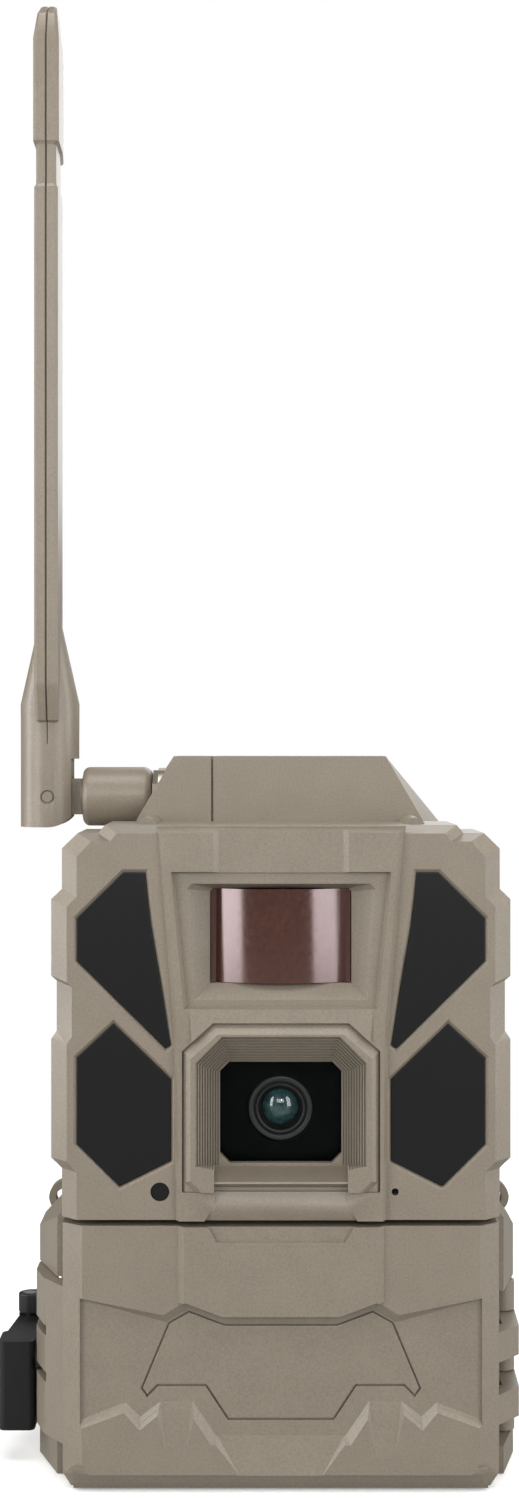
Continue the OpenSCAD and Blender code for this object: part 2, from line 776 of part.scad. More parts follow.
module door() {
    color(housing_colour) difference() {
        union() {
            difference() {
                union() {
                    slab(face_y + bevel_d, door_back) door_outline();
                    translate([0, face_y + bevel_d + eps, door_h]) rotate([90, 0, 0])
                        linear_extrude(bevel_d + eps, scale = [1 - 4.9 / door_half, 0.94], slices = 1)
                            translate([0, -door_h]) door_outline();
                }
                slab(face_y + bevel_d + 1, door_back + 1) offset(delta = -wall) door_outline();
                slab(face_y + face_t, face_y + bevel_d + 2) offset(delta = -wall - 4.3) door_outline();
            }
            raised_column([[24, door_h], [24, door_h - 17.8], [14.4, door_h - 20.9]]);
            // Hinge arms and knuckles
            for (i = [1, 3]) flat_slab(hinge_z + i * segment + gap / 2, hinge_z + (i + 1)
                * segment - gap / 2) polygon([
                [door_half - 1.5, door_back], [door_half - 1.5, door_back - 6], [door_half, door_back - 8],
                [hinge_x + knuckle_r - 0.6, door_back - 1], [hinge_x + knuckle_r, hinge_y],
                [hinge_x - 0.6, hinge_y], [rear_half + 0.6, hinge_y - 4], [rear_half + 0.6, door_back]
            ]);
            hinge_knuckles([1, 3]);
            // Catch flange
            difference() {
                flat_slab(catch_low, catch_high) mirror([1, 0]) flange_plan(catch_out, catch_tail);
                for (z = [catch_low + 12.5, catch_low + 23.6])
                    block([-catch_out - 1, door_back - 1, z], [-rear_half - 2.4, catch_tail + 1,
                        z + slot_h]);
                block([-catch_out - 1, groove_y0, catch_low - 1], [-catch_out + groove_d, groove_y1,
                    catch_low + 12.5]);
            }
            for (x = [-34.5, 34.5]) bar_z(x, face_y + 8, 0.05, door_z0 + 1, 1);
        }
        bar_z(hinge_x, hinge_y, hinge_z - 1, gate_high + 1, hinge_pin_r + run_gap);
        // Set-back middle zone and the seat of the centre panel
        slab(face_y - 1, face_y + relief) polygon(relief_points());
        slab(face_y - 1, face_y + relief + 0.8) polygon(panel_points());
        // Groove of the gasket
        slab(door_back - 1.2, door_back + 1) gasket_ring();
        // Shallow relief that carries on from the chin above
        slab(front_y - 1, front_y + chin_d)
            polygon(mirrored([[chin_half + 2, door_h + 1], [chin_half - 0.5, door_h - 3.5]]));
    }
}

module gasket_ring() {
    difference() {
        offset(delta = -0.5) door_outline();
        offset(delta = -1.7) door_outline();
    }
}

module door_panel() {
    color(housing_colour) slab(face_y + relief - 0.7, face_y + relief + 0.8) offset(delta = -0.3)
        polygon(panel_points());
}

module door_gasket() {
    color(black_colour) slab(door_back - 1.2, door_back + 0.2) gasket_ring();
}

module hinge_pin() {
    color(metal_colour) bar_z(hinge_x, hinge_y, hinge_z - 3, gate_high + 3, hinge_pin_r);
}

// ---------------------------------------------------------------- latch

latch_x = -catch_out - 4.2;
latch_y = split_y + 17;
latch_out = -catch_out - 9.2;
latch_z0 = 7.8;
latch_z1 = 29.4;
latch_pin_r = 1.5;
claw_t = 1.8;

module latch_lever() {
    color(black_colour) difference() {
        union() {
            // Front block, rounded on its outer edges
            flat_slab(latch_z0, latch_z1) rounded_box(latch_out, catch_tail - 8, -catch_out - 0.5,
                catch_tail + 1.5, 1.6);
            // Arm back to the hub
            flat_slab(latch_z0 + 4.4, latch_z1) polygon([
                [latch_out + 1, catch_tail], [-catch_out - 1.2, catch_tail], [latch_x + 2.4, latch_y],
                    [latch_x - 2.4, latch_y]
            ]);
            bar_z(latch_x, latch_y, latch_z0 + 4.4, latch_z1, 3);
            // Claw
            block([-catch_out - 1, groove_y1 - gap - claw_t, catch_low + 0.6],
                  [-catch_out + groove_d - gap, groove_y1 - gap, catch_low + 12]);
        }
        bar_z(latch_x, latch_y, latch_z0, latch_z1 + 1, latch_pin_r + run_gap);
    }
}

module rounded_box(x0, y0, x1, y1, r) {
    union() {
        translate([x0 + r, y0]) square([x1 - x0 - 2 * r, y1 - y0]);
        translate([x0, y0 + r]) square([x1 - x0, y1 - y0 - 2 * r]);
        for (x = [x0 + r, x1 - r], y = [y0 + r, y1 - r]) translate([x, y]) circle(r = r);
    }
}

module latch_base() {
    color(black_colour) difference() {
        union() {
            block([-rear_half - 2, latch_y - 6, latch_z0 + 0.4], [-rear_half, latch_y + 6, latch_z1 + 5.2]);
            for (z = [[latch_z0 + 0.4, latch_z0 + 4.4 - gap], [latch_z1 + gap, latch_z1 + 5.2]])
                flat_slab(z[0], z[1]) {
                    polygon([[-rear_half - 1, latch_y - 4], [-rear_half - 1, latch_y + 4],
                             [latch_x, latch_y + 3.1], [latch_x, latch_y - 3.1]]);
                    translate([latch_x, latch_y]) circle(r = 3.1);
                }
        }
        bar_z(latch_x, latch_y, latch_z0, latch_z1 + 6, latch_pin_r);
    }
}

module latch_pin() {
    color(metal_colour) bar_z(latch_x, latch_y, latch_z0 + 0.4, latch_z1 + 5.2, latch_pin_r);
}

// ---------------------------------------------------------------- batteries

contact_t = 0.4;
cap_t = 1.8;
cells_y0 = rim_y + 3.7;
cells_y1 = cells_y0 + cell_len;

module cell_places() {
    for (i = [0:3], j = [0:2])
        translate([tray_x0 + tray_w / 2 + (i - 1.5) * cell_pitch, 0, tray_z0 + tray_h / 2 + (j - 1)
            * cell_pitch])
            children();
}

module battery_tray() {
    color(black_colour) difference() {
        block([tray_x0, cells_y0, tray_z0], [tray_x1, cells_y1, tray_top]);
        cell_places() bar_y(0, 0, cells_y0 - 1, cells_y1 + 1, cell_dia / 2 + 0.15);
    }
}

module tray_front() {
    color(black_colour) {
        block([tray_x0, cells_y0 - contact_t - cap_t, tray_z0], [tray_x1, cells_y0 - contact_t, tray_top]);
        // Pull tab
        block([tray_x0 + tray_w / 2 - 9, cells_y0 - contact_t - cap_t - 4, tray_z0 + tray_h / 2 - 1],
              [tray_x0 + tray_w / 2 + 9, cells_y0 - contact_t - cap_t, tray_z0 + tray_h / 2 + 1]);
    }
}

module tray_back() {
    color(black_colour) block([tray_x0, cells_y1 + contact_t, tray_z0], [tray_x1,
        cells_y1 + contact_t + 1, tray_top]);
}

module battery_contacts() {
    color(metal_colour) for (y = [cells_y0 - contact_t, cells_y1])
        for (i = [0, 2], j = [0:2]) {
            x = tray_x0 + tray_w / 2 + (i - 1.5) * cell_pitch;
            z = tray_z0 + tray_h / 2 + (j - 1) * cell_pitch;
            slab(y, y + contact_t) square_between(x - 4, z - 4, x + cell_pitch + 4, z + 4);
        }
}

module battery_cells() {
    nub = 1.2;
    color([0.75, 0.6, 0.3]) for (i = [0:3], j = [0:2]) {
        x = tray_x0 + tray_w / 2 + (i - 1.5) * cell_pitch;
        z = tray_z0 + tray_h / 2 + (j - 1) * cell_pitch;
        front = (i + j) % 2 == 0 ? nub : 0;
        bar_y(x, z, cells_y0 + front, cells_y1 - nub + front, cell_dia / 2);
        bar_y(x, z, cells_y0, cells_y1, 2.7);
    }
}

// ---------------------------------------------------------------- controls

panel_mid = (panel_x0 + panel_x1) / 2;
panel_z0 = wall + 0.2;
panel_z1 = roof_z - 0.2;
display_z = panel_z1 - 13.5;
button_z = display_z - 17;
button_r = 2.4;
button_step = 8.6;
switch_z = button_z - 7;
card_z = switch_z - 7;
sim_z = card_z - 5.5;
card_w = 24;
card_t = 2.1;
card_len = 32;
sim_w = 12;
sim_t = 0.8;
sim_len = 15;
control_y = panel_y + panel_t + 3.4;

module control_panel() {
    color(black_colour) difference() {
        slab(panel_y, panel_y + panel_t) square_between(panel_x0 + 0.2, panel_z0, panel_x1 - 0.2, panel_z1);
        slab(panel_y - 1, panel_y + panel_t + 1) {
            square_between(panel_mid - 12, display_z - 9, panel_mid + 12, display_z + 9);
            square_between(panel_mid - 4.5, switch_z - 1.3, panel_mid + 4.5, switch_z + 1.3);
            square_between(panel_mid - card_w / 2 - gap, card_z - card_t / 2 - gap,
                           panel_mid + card_w / 2 + gap, card_z + card_t / 2 + gap);
            square_between(panel_mid - sim_w / 2 - gap, sim_z - sim_t / 2 - gap,
                           panel_mid + sim_w / 2 + gap, sim_z + sim_t / 2 + gap);
        }
        for (i = [-1:1]) bar_y(panel_mid + i * button_step, button_z, panel_y - 1,
            panel_y + panel_t + 1, button_r + gap);
    }
}

module control_board() {
    color(board_colour) {
        slab(control_y, control_y + 1.2) square_between(panel_mid - 14.5, card_z + 3.4,
            panel_mid + 14.5, panel_z1 - 2);
        // Spacers behind the panel
        for (x = [panel_mid - 13.3, panel_mid + 13.3], z = [button_z + 5, panel_z1 - 3.4])
            bar_y(x, z, panel_y + panel_t, control_y, 1);
    }
}

module display() {
    color([0.15, 0.2, 0.2]) slab(panel_y + 0.4, control_y)
        square_between(panel_mid - 11.9, display_z - 8.9, panel_mid + 11.9, display_z + 8.9);
}

module button(i) {
    color([0.5, 0.5, 0.5]) bar_y(panel_mid + i * button_step, button_z, panel_y - 1, control_y - 0.9,
        button_r);
}

module power_switch() {
    color([0.8, 0.3, 0.2]) {
        block([panel_mid - 3.9, panel_y - 1, switch_z - 1], [panel_mid - 0.9, panel_y + panel_t + 0.2,
            switch_z + 1]);
        block([panel_mid - 3.9, panel_y + panel_t + 0.2, switch_z - 1], [panel_mid - 0.9,
            control_y - gap, switch_z + 1]);
    }
}

module sd_card() {
    color([0.1, 0.15, 0.35]) block([panel_mid - card_w / 2, panel_y - 2, card_z - card_t / 2],
                                   [panel_mid + card_w / 2, panel_y - 2 + card_len, card_z + card_t / 2]);
}

module socket(half_w, z, t, depth) {
    difference() {
        block([panel_mid - half_w - 1, panel_y + panel_t, z - t / 2 - 1],
              [panel_mid + half_w + 1, panel_y + depth + 3, z + t / 2 + 1]);
        block([panel_mid - half_w - gap, panel_y, z - t / 2 - gap],
              [panel_mid + half_w + gap, panel_y + depth + 1, z + t / 2 + gap]);
    }
}

module sd_socket() {
    color(metal_colour) socket(card_w / 2, card_z, card_t, card_len - 2);
}

module sim_card() {
    color([0.9, 0.9, 0.85]) block([panel_mid - sim_w / 2, panel_y - 1, sim_z - sim_t / 2],
                                  [panel_mid + sim_w / 2, panel_y - 1 + sim_len, sim_z + sim_t / 2]);
}

module sim_socket() {
    color(metal_colour) socket(sim_w / 2, sim_z, sim_t, sim_len - 1);
}

// ---------------------------------------------------------------- fittings

jack_len = 9;

module power_jack() {
    color(black_colour) difference() {
        union() {
            bar_x(jack_y, jack_z, rear_half - wall - jack_len, rear_half - wall, jack_r + 2.2);
            bar_x(jack_y, jack_z, rear_half - wall, rear_half, jack_r + 0.4);
        }
        bar_x(jack_y, jack_z, rear_half - wall - jack_len + 1, rear_half + 1, jack_r);
    }
}

module jack_cover() {
    color(black_colour) difference() {
        union() {
            bar_x(jack_y, jack_z, rear_half + gap, rear_half + 2, 6);
            block([rear_half + gap, jack_y - 3, jack_z], [rear_half + 2, jack_y + 3, cover_hinge_z]);
            bar_y(rear_half + 2, cover_hinge_z, jack_y - 3, jack_y + 3, cover_knuckle_r);
        }
        bar_y(rear_half + 2, cover_hinge_z, jack_y - 4, jack_y + 4, cover_pin_r + run_gap);
    }
}

module tripod_inserts() {
    color(brass_colour) {
        difference() {
            bar_z(0, 0, 0, insert_h, insert_r);
            bar_z(0, 0, -1, insert_h - 1, thread_r);
        }
        difference() {
            bar_y(0, back_insert_z, back_y - insert_h, back_y, insert_r);
            bar_y(0, back_insert_z, back_y - insert_h + 1, back_y + 1, thread_r);
        }
    }
}

bracket_z0 = back_insert_z - strap_h / 2 - 7;
bracket_z1 = back_insert_z + strap_h / 2 + 7;
bracket_t = 2.2;
strap_bar_x = 27;
strap_bar_w = 9;
strap_bar_t = 3.6;
tooth = 2;

module strap_bracket() {
    bar_y0 = back_y + bracket_t + strap_gap;
    color(housing_colour) difference() {
        union() {
            slab(back_y, back_y + bracket_t)
                square_between(-strap_bar_x - strap_bar_w - 2, bracket_z0,
                    strap_bar_x + strap_bar_w + 2, bracket_z1);
            both_sides() {
                block([strap_bar_x, bar_y0, bracket_z0], [strap_bar_x + strap_bar_w,
                    bar_y0 + strap_bar_t, bracket_z1]);
                for (z = [bracket_z0, bracket_z1 - 6.5])
                    block([strap_bar_x, back_y + bracket_t - eps, z], [strap_bar_x + strap_bar_w,
                        bar_y0 + eps, z + 6.5]);
                // Teeth that bite into bark
                for (i = [0:5]) side_slab(strap_bar_x, strap_bar_x + strap_bar_w) polygon([
                    [bar_y0 + strap_bar_t - eps, bracket_z0 + i * (bracket_z1 - bracket_z0) / 6],
                    [bar_y0 + strap_bar_t - eps, bracket_z0 + (i + 1) * (bracket_z1 - bracket_z0) / 6],
                    [bar_y0 + strap_bar_t + tooth, bracket_z0 + (i + 0.5) * (bracket_z1 - bracket_z0) / 6]
                ]);
            }
        }
        bar_y(0, back_insert_z, back_y - 1, back_y + bracket_t + 1, insert_r + 1.5);
        bracket_screw_places() bar_y(0, 0, back_y - 1, back_y + bracket_t + 1, 1.5);
    }
}

module bracket_screw_places() {
    for (x = [-17, 17], z = [bracket_z0 + 5, bracket_z1 - 5]) translate([x, 0, z]) children();
}

module bracket_screws() {
    color(metal_colour) bracket_screw_places() {
        bar_y(0, 0, back_y, back_y + bracket_t, 1.5);
        bar_y(0, 0, back_y + bracket_t, back_y + bracket_t + 1.4, 2.8);
    }
}

// ---------------------------------------------------------------- antenna

stub_r = 3.1;
nut_x0 = ant_x + 8.5;
nut_x1 = pocket_x - 3.4;

module antenna_connector() {
    color(brass_colour) difference() {
        union() {
            bar_x(ant_y, ant_z, nut_x1 - 10, pocket_x + wall + 3, stub_r);
            bar_x(ant_y, ant_z, pocket_x - 1.8, pocket_x, 7.2);
            translate([pocket_x - 3.2, ant_y, ant_z]) rotate([0, 90, 0]) cylinder(h = 1.4, r = 6.6,
                $fn = 6);
            translate([pocket_x + wall, ant_y, ant_z]) rotate([0, 90, 0]) cylinder(h = 2.4, r = 5, $fn = 6);
        }
        bar_x(ant_y, ant_z, nut_x1 - 11, nut_x1 - 2, 1.2);
    }
}

module antenna_nut() {
    color(housing_colour) difference() {
        union() {
            bar_x(ant_y, ant_z, nut_x0 + 1, nut_x1 - 1.4, nut_r);
            bar_x(ant_y, ant_z, nut_x0, nut_x1, nut_r - 1);
            translate([nut_x0, ant_y, ant_z]) rotate([0, 90, 0]) cylinder(h = 1, r1 = nut_r - 1,
                r2 = nut_r);
            translate([nut_x1 - 1.4, ant_y, ant_z]) rotate([0, 90, 0]) cylinder(h = 1.4, r1 = nut_r,
                r2 = nut_r - 1);
        }
        bar_x(ant_y, ant_z, nut_x0 + 3, nut_x1 + 1, stub_r + run_gap);
        bar_x(ant_y, ant_z, nut_x0 + 3, nut_x0 + 6, 5.6);
        bar_x(ant_y, ant_z, nut_x0 - 1, nut_x0 + 4, 3.4 + run_gap);
    }
}

tongue_t = 5;
tongue_r = 4.5;

module antenna_elbow() {
    color(housing_colour) difference() {
        union() {
            bar_y(ant_x, ant_z, ant_y - tongue_t / 2, ant_y + tongue_t / 2, tongue_r);
            block([ant_x, ant_y - tongue_t / 2, ant_z - tongue_r], [nut_x0 - gap, ant_y + tongue_t / 2,
                ant_z + tongue_r]);
            bar_x(ant_y, ant_z, nut_x0 - 0.6, nut_x0 + 4, 3.4);
            bar_x(ant_y, ant_z, nut_x0 + 3 + gap, nut_x0 + 5, 5.3);
        }
        bar_y(ant_x, ant_z, ant_y - tongue_t, ant_y + tongue_t, knuckle_pin_r + run_gap);
    }
}

knuckle_low = 7.6;
knuckle_high = 13.2;
base_h = 9.8;
flare_h = 17.5;
foot_r = 4;
foot_h = 4.2;

module antenna_knuckle() {
    slot = tongue_t / 2 + 0.15;
    reach = tongue_r + gap;
    color(housing_colour) {
        difference() {
            bar_z(ant_x, ant_y, ant_z - knuckle_low, ant_z + knuckle_high, joint_r);
            // Relief beside the elbow and a rounded lower corner
            block([ant_x + 5.7, ant_y - 10, ant_z - 10], [ant_x + 10, ant_y + 10,
                ant_z + knuckle_high - 3.7]);
            difference() {
                block([ant_x, ant_y - 10, ant_z - 10], [ant_x + 10, ant_y + 10, ant_z]);
                bar_y(ant_x, ant_z, ant_y - 11, ant_y + 11, knuckle_low);
            }
            // Slot for the elbow's tongue, open to the side and below
            bar_y(ant_x, ant_z, ant_y - slot, ant_y + slot, reach);
            block([ant_x, ant_y - slot, ant_z - 10], [ant_x + 10, ant_y + slot, ant_z + reach]);
            block([ant_x - reach, ant_y - slot, ant_z - 10], [ant_x + 10, ant_y + slot, ant_z]);
            // Socket for the blade's foot
            bar_z(ant_x, ant_y, ant_z + knuckle_high - foot_h, ant_z + knuckle_high + 1, foot_r + run_gap);
            bar_y(ant_x, ant_z, ant_y - 10, ant_y + 10, knuckle_pin_r);
        }
        bar_y(ant_x, ant_z, ant_y - joint_r + 0.35, ant_y + joint_r - 0.35, knuckle_pin_r);
    }
}

blade_z0 = ant_z + knuckle_high;
blade_z1 = ant_z + antenna_h;
blade_half_w = blade_w / 2;

// Side profile of the blade
module blade_profile() {
    y0 = ant_y - blade_half_w;
    y1 = ant_y + blade_half_w;
    polygon([
        [ant_y, blade_z0 + base_h - 5], [y0 + 4, blade_z0 + base_h - 3.6], [y0, blade_z0 + base_h + 3],
        [y0, blade_z1 - 12.8], [y0 + 3, blade_z1 - 4], [y0 + 7, blade_z1],
        [y1 - 7, blade_z1], [y1 - 3, blade_z1 - 4], [y1, blade_z1 - 12.8],
        [y1, blade_z0 + base_h + 3], [y1 - 4, blade_z0 + base_h - 3.6]
    ]);
}

module blade_body() {
    difference() {
        union() {
            side_slab(ant_x - blade_t / 2, ant_x + blade_t / 2) blade_profile();
            // Thicker upper section
            intersection() {
                side_slab(ant_x - blade_t / 2 - 0.3, ant_x + blade_t / 2 + 0.3) blade_profile();
                translate([0, 0, blade_z1 - 36]) flat_slab(0, 23) square_between(ant_x - 10, ant_y - 20,
                    ant_x + 10, ant_y + 20);
            }
            bar_z(ant_x, ant_y, blade_z0, blade_z0 + base_h, joint_r);
            translate([ant_x, ant_y, blade_z0 + base_h]) cylinder(h = flare_h, r1 = joint_r,
                r2 = blade_t / 2);
            bar_z(ant_x, ant_y, blade_z0 - foot_h, blade_z0 + 1, foot_r);
        }
        // Hollow for the radiating element
        block([ant_x - 0.8, ant_y - blade_half_w + 3, blade_z0 + base_h + 6],
              [ant_x + 0.8, ant_y + blade_half_w - 3, blade_z1 - 14]);
    }
}

module antenna_blade(side) {
    color(housing_colour) intersection() {
        blade_body();
        if (side < 0) block([ant_x - 20, ant_y - 30, blade_z0 - 10], [ant_x, ant_y + 30, blade_z1 + 10]);
        else block([ant_x, ant_y - 30, blade_z0 - 10], [ant_x + 20, ant_y + 30, blade_z1 + 10]);
    }
}

// ---------------------------------------------------------------- assembly

front_shell();
rear_shell();
shell_gasket();
shell_screws();
hump_cover();
connector_cover();
lens_hood();
lens_window();
lens_barrel();
lens_ring();
lens_element();
image_sensor_board();
ir_window(true, -1);  // ir_window_upper_left
ir_window(true, 1);  // ir_window_upper_right
ir_window(false, -1);  // ir_window_lower_left
ir_window(false, 1);  // ir_window_lower_right
ir_board(-1);  // ir_board_left
ir_board(1);  // ir_board_right
ir_leds();
pir_window();
pir_sensor();
light_sensor();
microphone();
main_board();
board_parts();
modem_module();
door();
door_panel();
door_gasket();
hinge_pin();
latch_lever();
latch_base();
latch_pin();
battery_tray();
tray_front();
tray_back();
battery_contacts();
battery_cells();
control_panel();
control_board();
display();
button(-1);  // button_left
button(0);  // button_ok
button(1);  // button_right
power_switch();
sd_card();
sd_socket();
sim_card();
sim_socket();
power_jack();
jack_cover();
tripod_inserts();
strap_bracket();
bracket_screws();
antenna_connector();
antenna_nut();
antenna_elbow();
antenna_knuckle();
antenna_blade(-1);  // antenna_blade_left
antenna_blade(1);  // antenna_blade_right
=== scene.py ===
import json
import math

import bpy
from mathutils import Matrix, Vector


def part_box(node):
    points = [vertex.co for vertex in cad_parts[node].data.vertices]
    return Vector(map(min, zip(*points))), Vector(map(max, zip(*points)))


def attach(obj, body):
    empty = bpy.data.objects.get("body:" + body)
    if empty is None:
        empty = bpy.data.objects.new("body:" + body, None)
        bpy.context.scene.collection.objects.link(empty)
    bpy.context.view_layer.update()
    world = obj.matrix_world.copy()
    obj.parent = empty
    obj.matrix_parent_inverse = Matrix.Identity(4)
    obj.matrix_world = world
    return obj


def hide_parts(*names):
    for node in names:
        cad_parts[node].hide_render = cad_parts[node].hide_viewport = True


bl_info = {
    "name": "Trail camera",
    "version": (1, 0, 0),
    "blender": (4, 5, 0),
    "location": "View3D > Sidebar > Trail camera",
    "description": "Builds the visible pieces of a trail camera with a paddle antenna",
    "category": "Object",
}

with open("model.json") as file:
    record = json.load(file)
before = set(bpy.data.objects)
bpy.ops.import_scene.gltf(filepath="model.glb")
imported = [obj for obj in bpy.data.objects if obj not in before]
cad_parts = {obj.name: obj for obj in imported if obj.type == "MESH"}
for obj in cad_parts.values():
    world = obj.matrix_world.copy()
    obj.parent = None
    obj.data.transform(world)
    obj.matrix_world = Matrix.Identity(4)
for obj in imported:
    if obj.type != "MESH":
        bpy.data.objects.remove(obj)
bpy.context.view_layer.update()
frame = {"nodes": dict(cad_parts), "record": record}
MM = 0.001

# Levels from front to back, in millimetres
WINDOW_INSET = 0.25
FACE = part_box("ir_window_upper_left")[0].y / MM - WINDOW_INSET
COLUMN = FACE - 1.6
HOOD_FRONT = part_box("lens_hood")[0].y / MM
HOOD_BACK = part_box("lens_hood")[1].y / MM
RECESS_FLOOR = FACE + 4.5
RELIEF = 1.4
# A level in front of everything, where cutters start
OUTSIDE = -60

# Heights, in millimetres
SHELL_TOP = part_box("front_shell")[1].z / MM
SHELL_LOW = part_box("front_shell")[0].z / MM
LENS_Z = (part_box("lens_barrel")[0].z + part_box("lens_barrel")[1].z) / 2 / MM
# Merging distance for points that should be one
TOUCH = 0.001 * MM


# ---------------------------------------------------------------- tools


def activate(piece):
    """Leaves edit mode and selects this piece alone."""
    if bpy.context.object and bpy.context.object.mode != "OBJECT":
        bpy.ops.object.mode_set(mode="OBJECT")
    bpy.ops.object.select_all(action="DESELECT")
    if piece is not None:
        bpy.context.view_layer.objects.active = piece
        piece.select_set(True)


def edit(piece):
    """Opens edit mode on this piece with everything selected."""
    activate(piece)
    bpy.ops.object.mode_set(mode="EDIT")
    bpy.ops.mesh.select_all(action="SELECT")


def face_outwards(piece):
    """Turns every face outwards."""
    edit(piece)
    bpy.ops.mesh.normals_make_consistent(inside=False)
    activate(piece)


def loft(name, rings):
    """A closed solid through rings of points, in millimetres."""
    activate(None)
    bpy.ops.mesh.primitive_circle_add(vertices=len(rings[0]), radius=MM, fill_type="NGON")
    piece = bpy.context.object
    piece.name = piece.data.name = name
    for vertex, point in zip(piece.data.vertices, rings[0]):
        vertex.co = Vector(point) * MM
    for before, ring in zip(rings, rings[1:]):
        bpy.ops.object.mode_set(mode="EDIT")
        bpy.ops.mesh.extrude_region_move(TRANSFORM_OT_translate={"value": (0, 0, 0)})
        bpy.ops.object.mode_set(mode="OBJECT")
        places = {tuple(round(c, 4) for c in point): i for i, point in enumerate(before)}
        for vertex in piece.data.vertices:
            if vertex.select:
                key = tuple(round(c / MM, 4) for c in vertex.co)
                nearest = min(places, key=lambda p: sum((a - b) ** 2 for a, b in zip(p, key)))
                vertex.co = Vector(ring[places[nearest]]) * MM
    face_outwards(piece)
    return piece


def turned(name, profile, height, front):
    """A ring turned around the lens axis from radius and depth pairs."""
    activate(None)
    bpy.ops.mesh.primitive_circle_add(vertices=len(profile), radius=MM, fill_type="NGON")
    piece = bpy.context.object
    piece.name = piece.data.name = name
    for vertex, (radius, depth) in zip(piece.data.vertices, profile):
        vertex.co = (radius * MM, (front + depth) * MM, height * MM)
    edit(piece)
    bpy.ops.mesh.spin(
        steps=96, angle=2 * math.pi, center=(0, 0, height * MM), axis=(0, 1, 0), use_auto_merge=True
    )
    bpy.ops.mesh.select_all(action="SELECT")
    bpy.ops.mesh.remove_doubles(threshold=TOUCH)
    activate(piece)
    # The spin leaves the starting face inside at every step. Of the lens cone, the selection also
    # takes part of the surface, which leaves it with gaps around the ring
    edit(piece)
    bpy.ops.mesh.select_all(action="DESELECT")
    bpy.ops.mesh.select_interior_faces()
    bpy.ops.mesh.delete(type="ONLY_FACE")
    face_outwards(piece)
    return piece


def front_ring(outline, y):
    """An outline drawn in X and Z, at one depth."""
    return [(x, y, z) for x, z in outline]


def side_ring(outline, x):
    """An outline drawn in Y and Z, at one width."""
    return [(x, y, z) for y, z in outline]


def turns(count):
    """Equal angles around a circle."""
    return [2 * math.pi * i / count for i in range(count)]


def both(outline):
    """Adds the mirror image of the right half of an outline."""
    return list(outline) + [(-x, z) for x, z in reversed(outline)]


def mirror_image(outline):
    """The outline on the other side of the middle."""
    return [(-x, z) for x, z in outline]


def spread(outline, by):
    """Moves each side of an outline outwards by the same distance."""
    moved = []
    count = len(outline)
    area = sum(
        outline[i - 1][0] * outline[i][1] - outline[i][0] * outline[i - 1][1] for i in range(count)
    )
    turn = 1 if area > 0 else -1
    sharpest = 0.35
    for i in range(count):
        before, here, after = (Vector(outline[j % count]) for j in (i - 1, i, i + 1))
        first = (here - before).normalized()
        second = (after - here).normalized()
        first_normal = Vector((first.y, -first.x)) * turn
        second_normal = Vector((second.y, -second.x)) * turn
        corner = (first_normal + second_normal).normalized()
        moved.append(tuple(here + corner * by / max(sharpest, corner.dot(first_normal))))
    return moved


def split_large_faces(piece):
    """Turns faces of more than four sides into triangles, so that holes in them stay open."""
    edit(piece)
    bpy.ops.mesh.select_all(action="DESELECT")
    bpy.ops.mesh.select_face_by_sides(number=4, type="GREATER")
    bpy.ops.mesh.quads_convert_to_tris(quad_method="BEAUTY", ngon_method="BEAUTY")
    activate(piece)


def combine(piece, tool, operation):
    """Joins or cuts with a tool piece, and deletes the tool."""
    solid = piece.modifiers.new("Solid", "BOOLEAN")
    solid.operation = operation
    solid.solver = "MANIFOLD"
    solid.object = tool
    activate(piece)
    bpy.ops.object.modifier_apply(modifier=solid.name)
    bpy.data.objects.remove(tool)
    return piece


def cut(piece, rings):
    """Cuts away the solid lofted through these rings."""
    return combine(piece, loft("Cutter", rings), "DIFFERENCE")


def add(piece, rings):
    """Adds the solid lofted through these rings."""
    return combine(piece, loft("Filler", rings), "UNION")


def copy_of(part, name):
    """The CAD node's shape as a new piece, with its facets joined into faces."""
    source = frame["nodes"][part]
    activate(None)
    piece = source.copy()
    piece.data = source.data.copy()
    piece.name = piece.data.name = name
    for key in list(piece.keys()):
        del piece[key]
    piece.parent = None
    piece.data.materials.clear()
    bpy.context.scene.collection.objects.link(piece)
    edit(piece)
    bpy.ops.mesh.remove_doubles(threshold=TOUCH)
    bpy.ops.mesh.dissolve_limited(angle_limit=math.radians(0.4))
    bpy.ops.mesh.customdata_custom_splitnormals_clear()
    activate(piece)
    return piece


def smooth(piece, angle=35):
    """Smooth shading that leaves the large flat faces flat."""
    activate(piece)
    bpy.ops.object.shade_smooth_by_angle(angle=math.radians(angle))
    weighted = piece.modifiers.new("Flat faces", "WEIGHTED_NORMAL")
    weighted.mode = "FACE_AREA"
    weighted.weight = 100
    weighted.keep_sharp = True
    bpy.ops.object.modifier_apply(modifier=weighted.name)
    return piece


def soften(piece, width, segments=2, angle=28):
    """Rounds the edges by up to this width, and smooths the shading between facets.

    The clamp holds all the edges of a piece to one width. On the front shell, the door and the
    hood it comes out at nothing, and on most copies of CAD shapes at about 0.02 mm.
    """
    split_large_faces(piece)
    bevel = piece.modifiers.new("Mould radius", "BEVEL")
    bevel.width = width * MM
    bevel.segments = segments
    bevel.limit_method = "ANGLE"
    bevel.angle_limit = math.radians(angle)
    bevel.use_clamp_overlap = True
    bevel.loop_slide = False
    bevel.miter_outer = "MITER_ARC"
    bpy.ops.object.modifier_apply(modifier=bevel.name)
    return smooth(piece)


def dress(piece, body, slot, material, *nodes):
    """Gives a piece its material and body, and hides the nodes that it stands for. The slot is not used.
    """
    piece.data.materials.clear()
    piece.data.materials.append(bpy.data.materials[material])
    if nodes:
        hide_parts(*nodes)
    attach(piece, body)
    return piece


def body_of(part):
    """The body that a CAD node rides on."""
    for body, members in frame["record"]["behaviour"]["bodies"].items():
        if part in members:
            return body
    raise RuntimeError("no body holds " + part)


def slot_of(part):
    """The material slot that the record gives a CAD node."""
    for row in frame["record"]["subparts"]:
        if row["node"] == part:
            return row["material_slot"]
    raise RuntimeError("no slot for " + part)


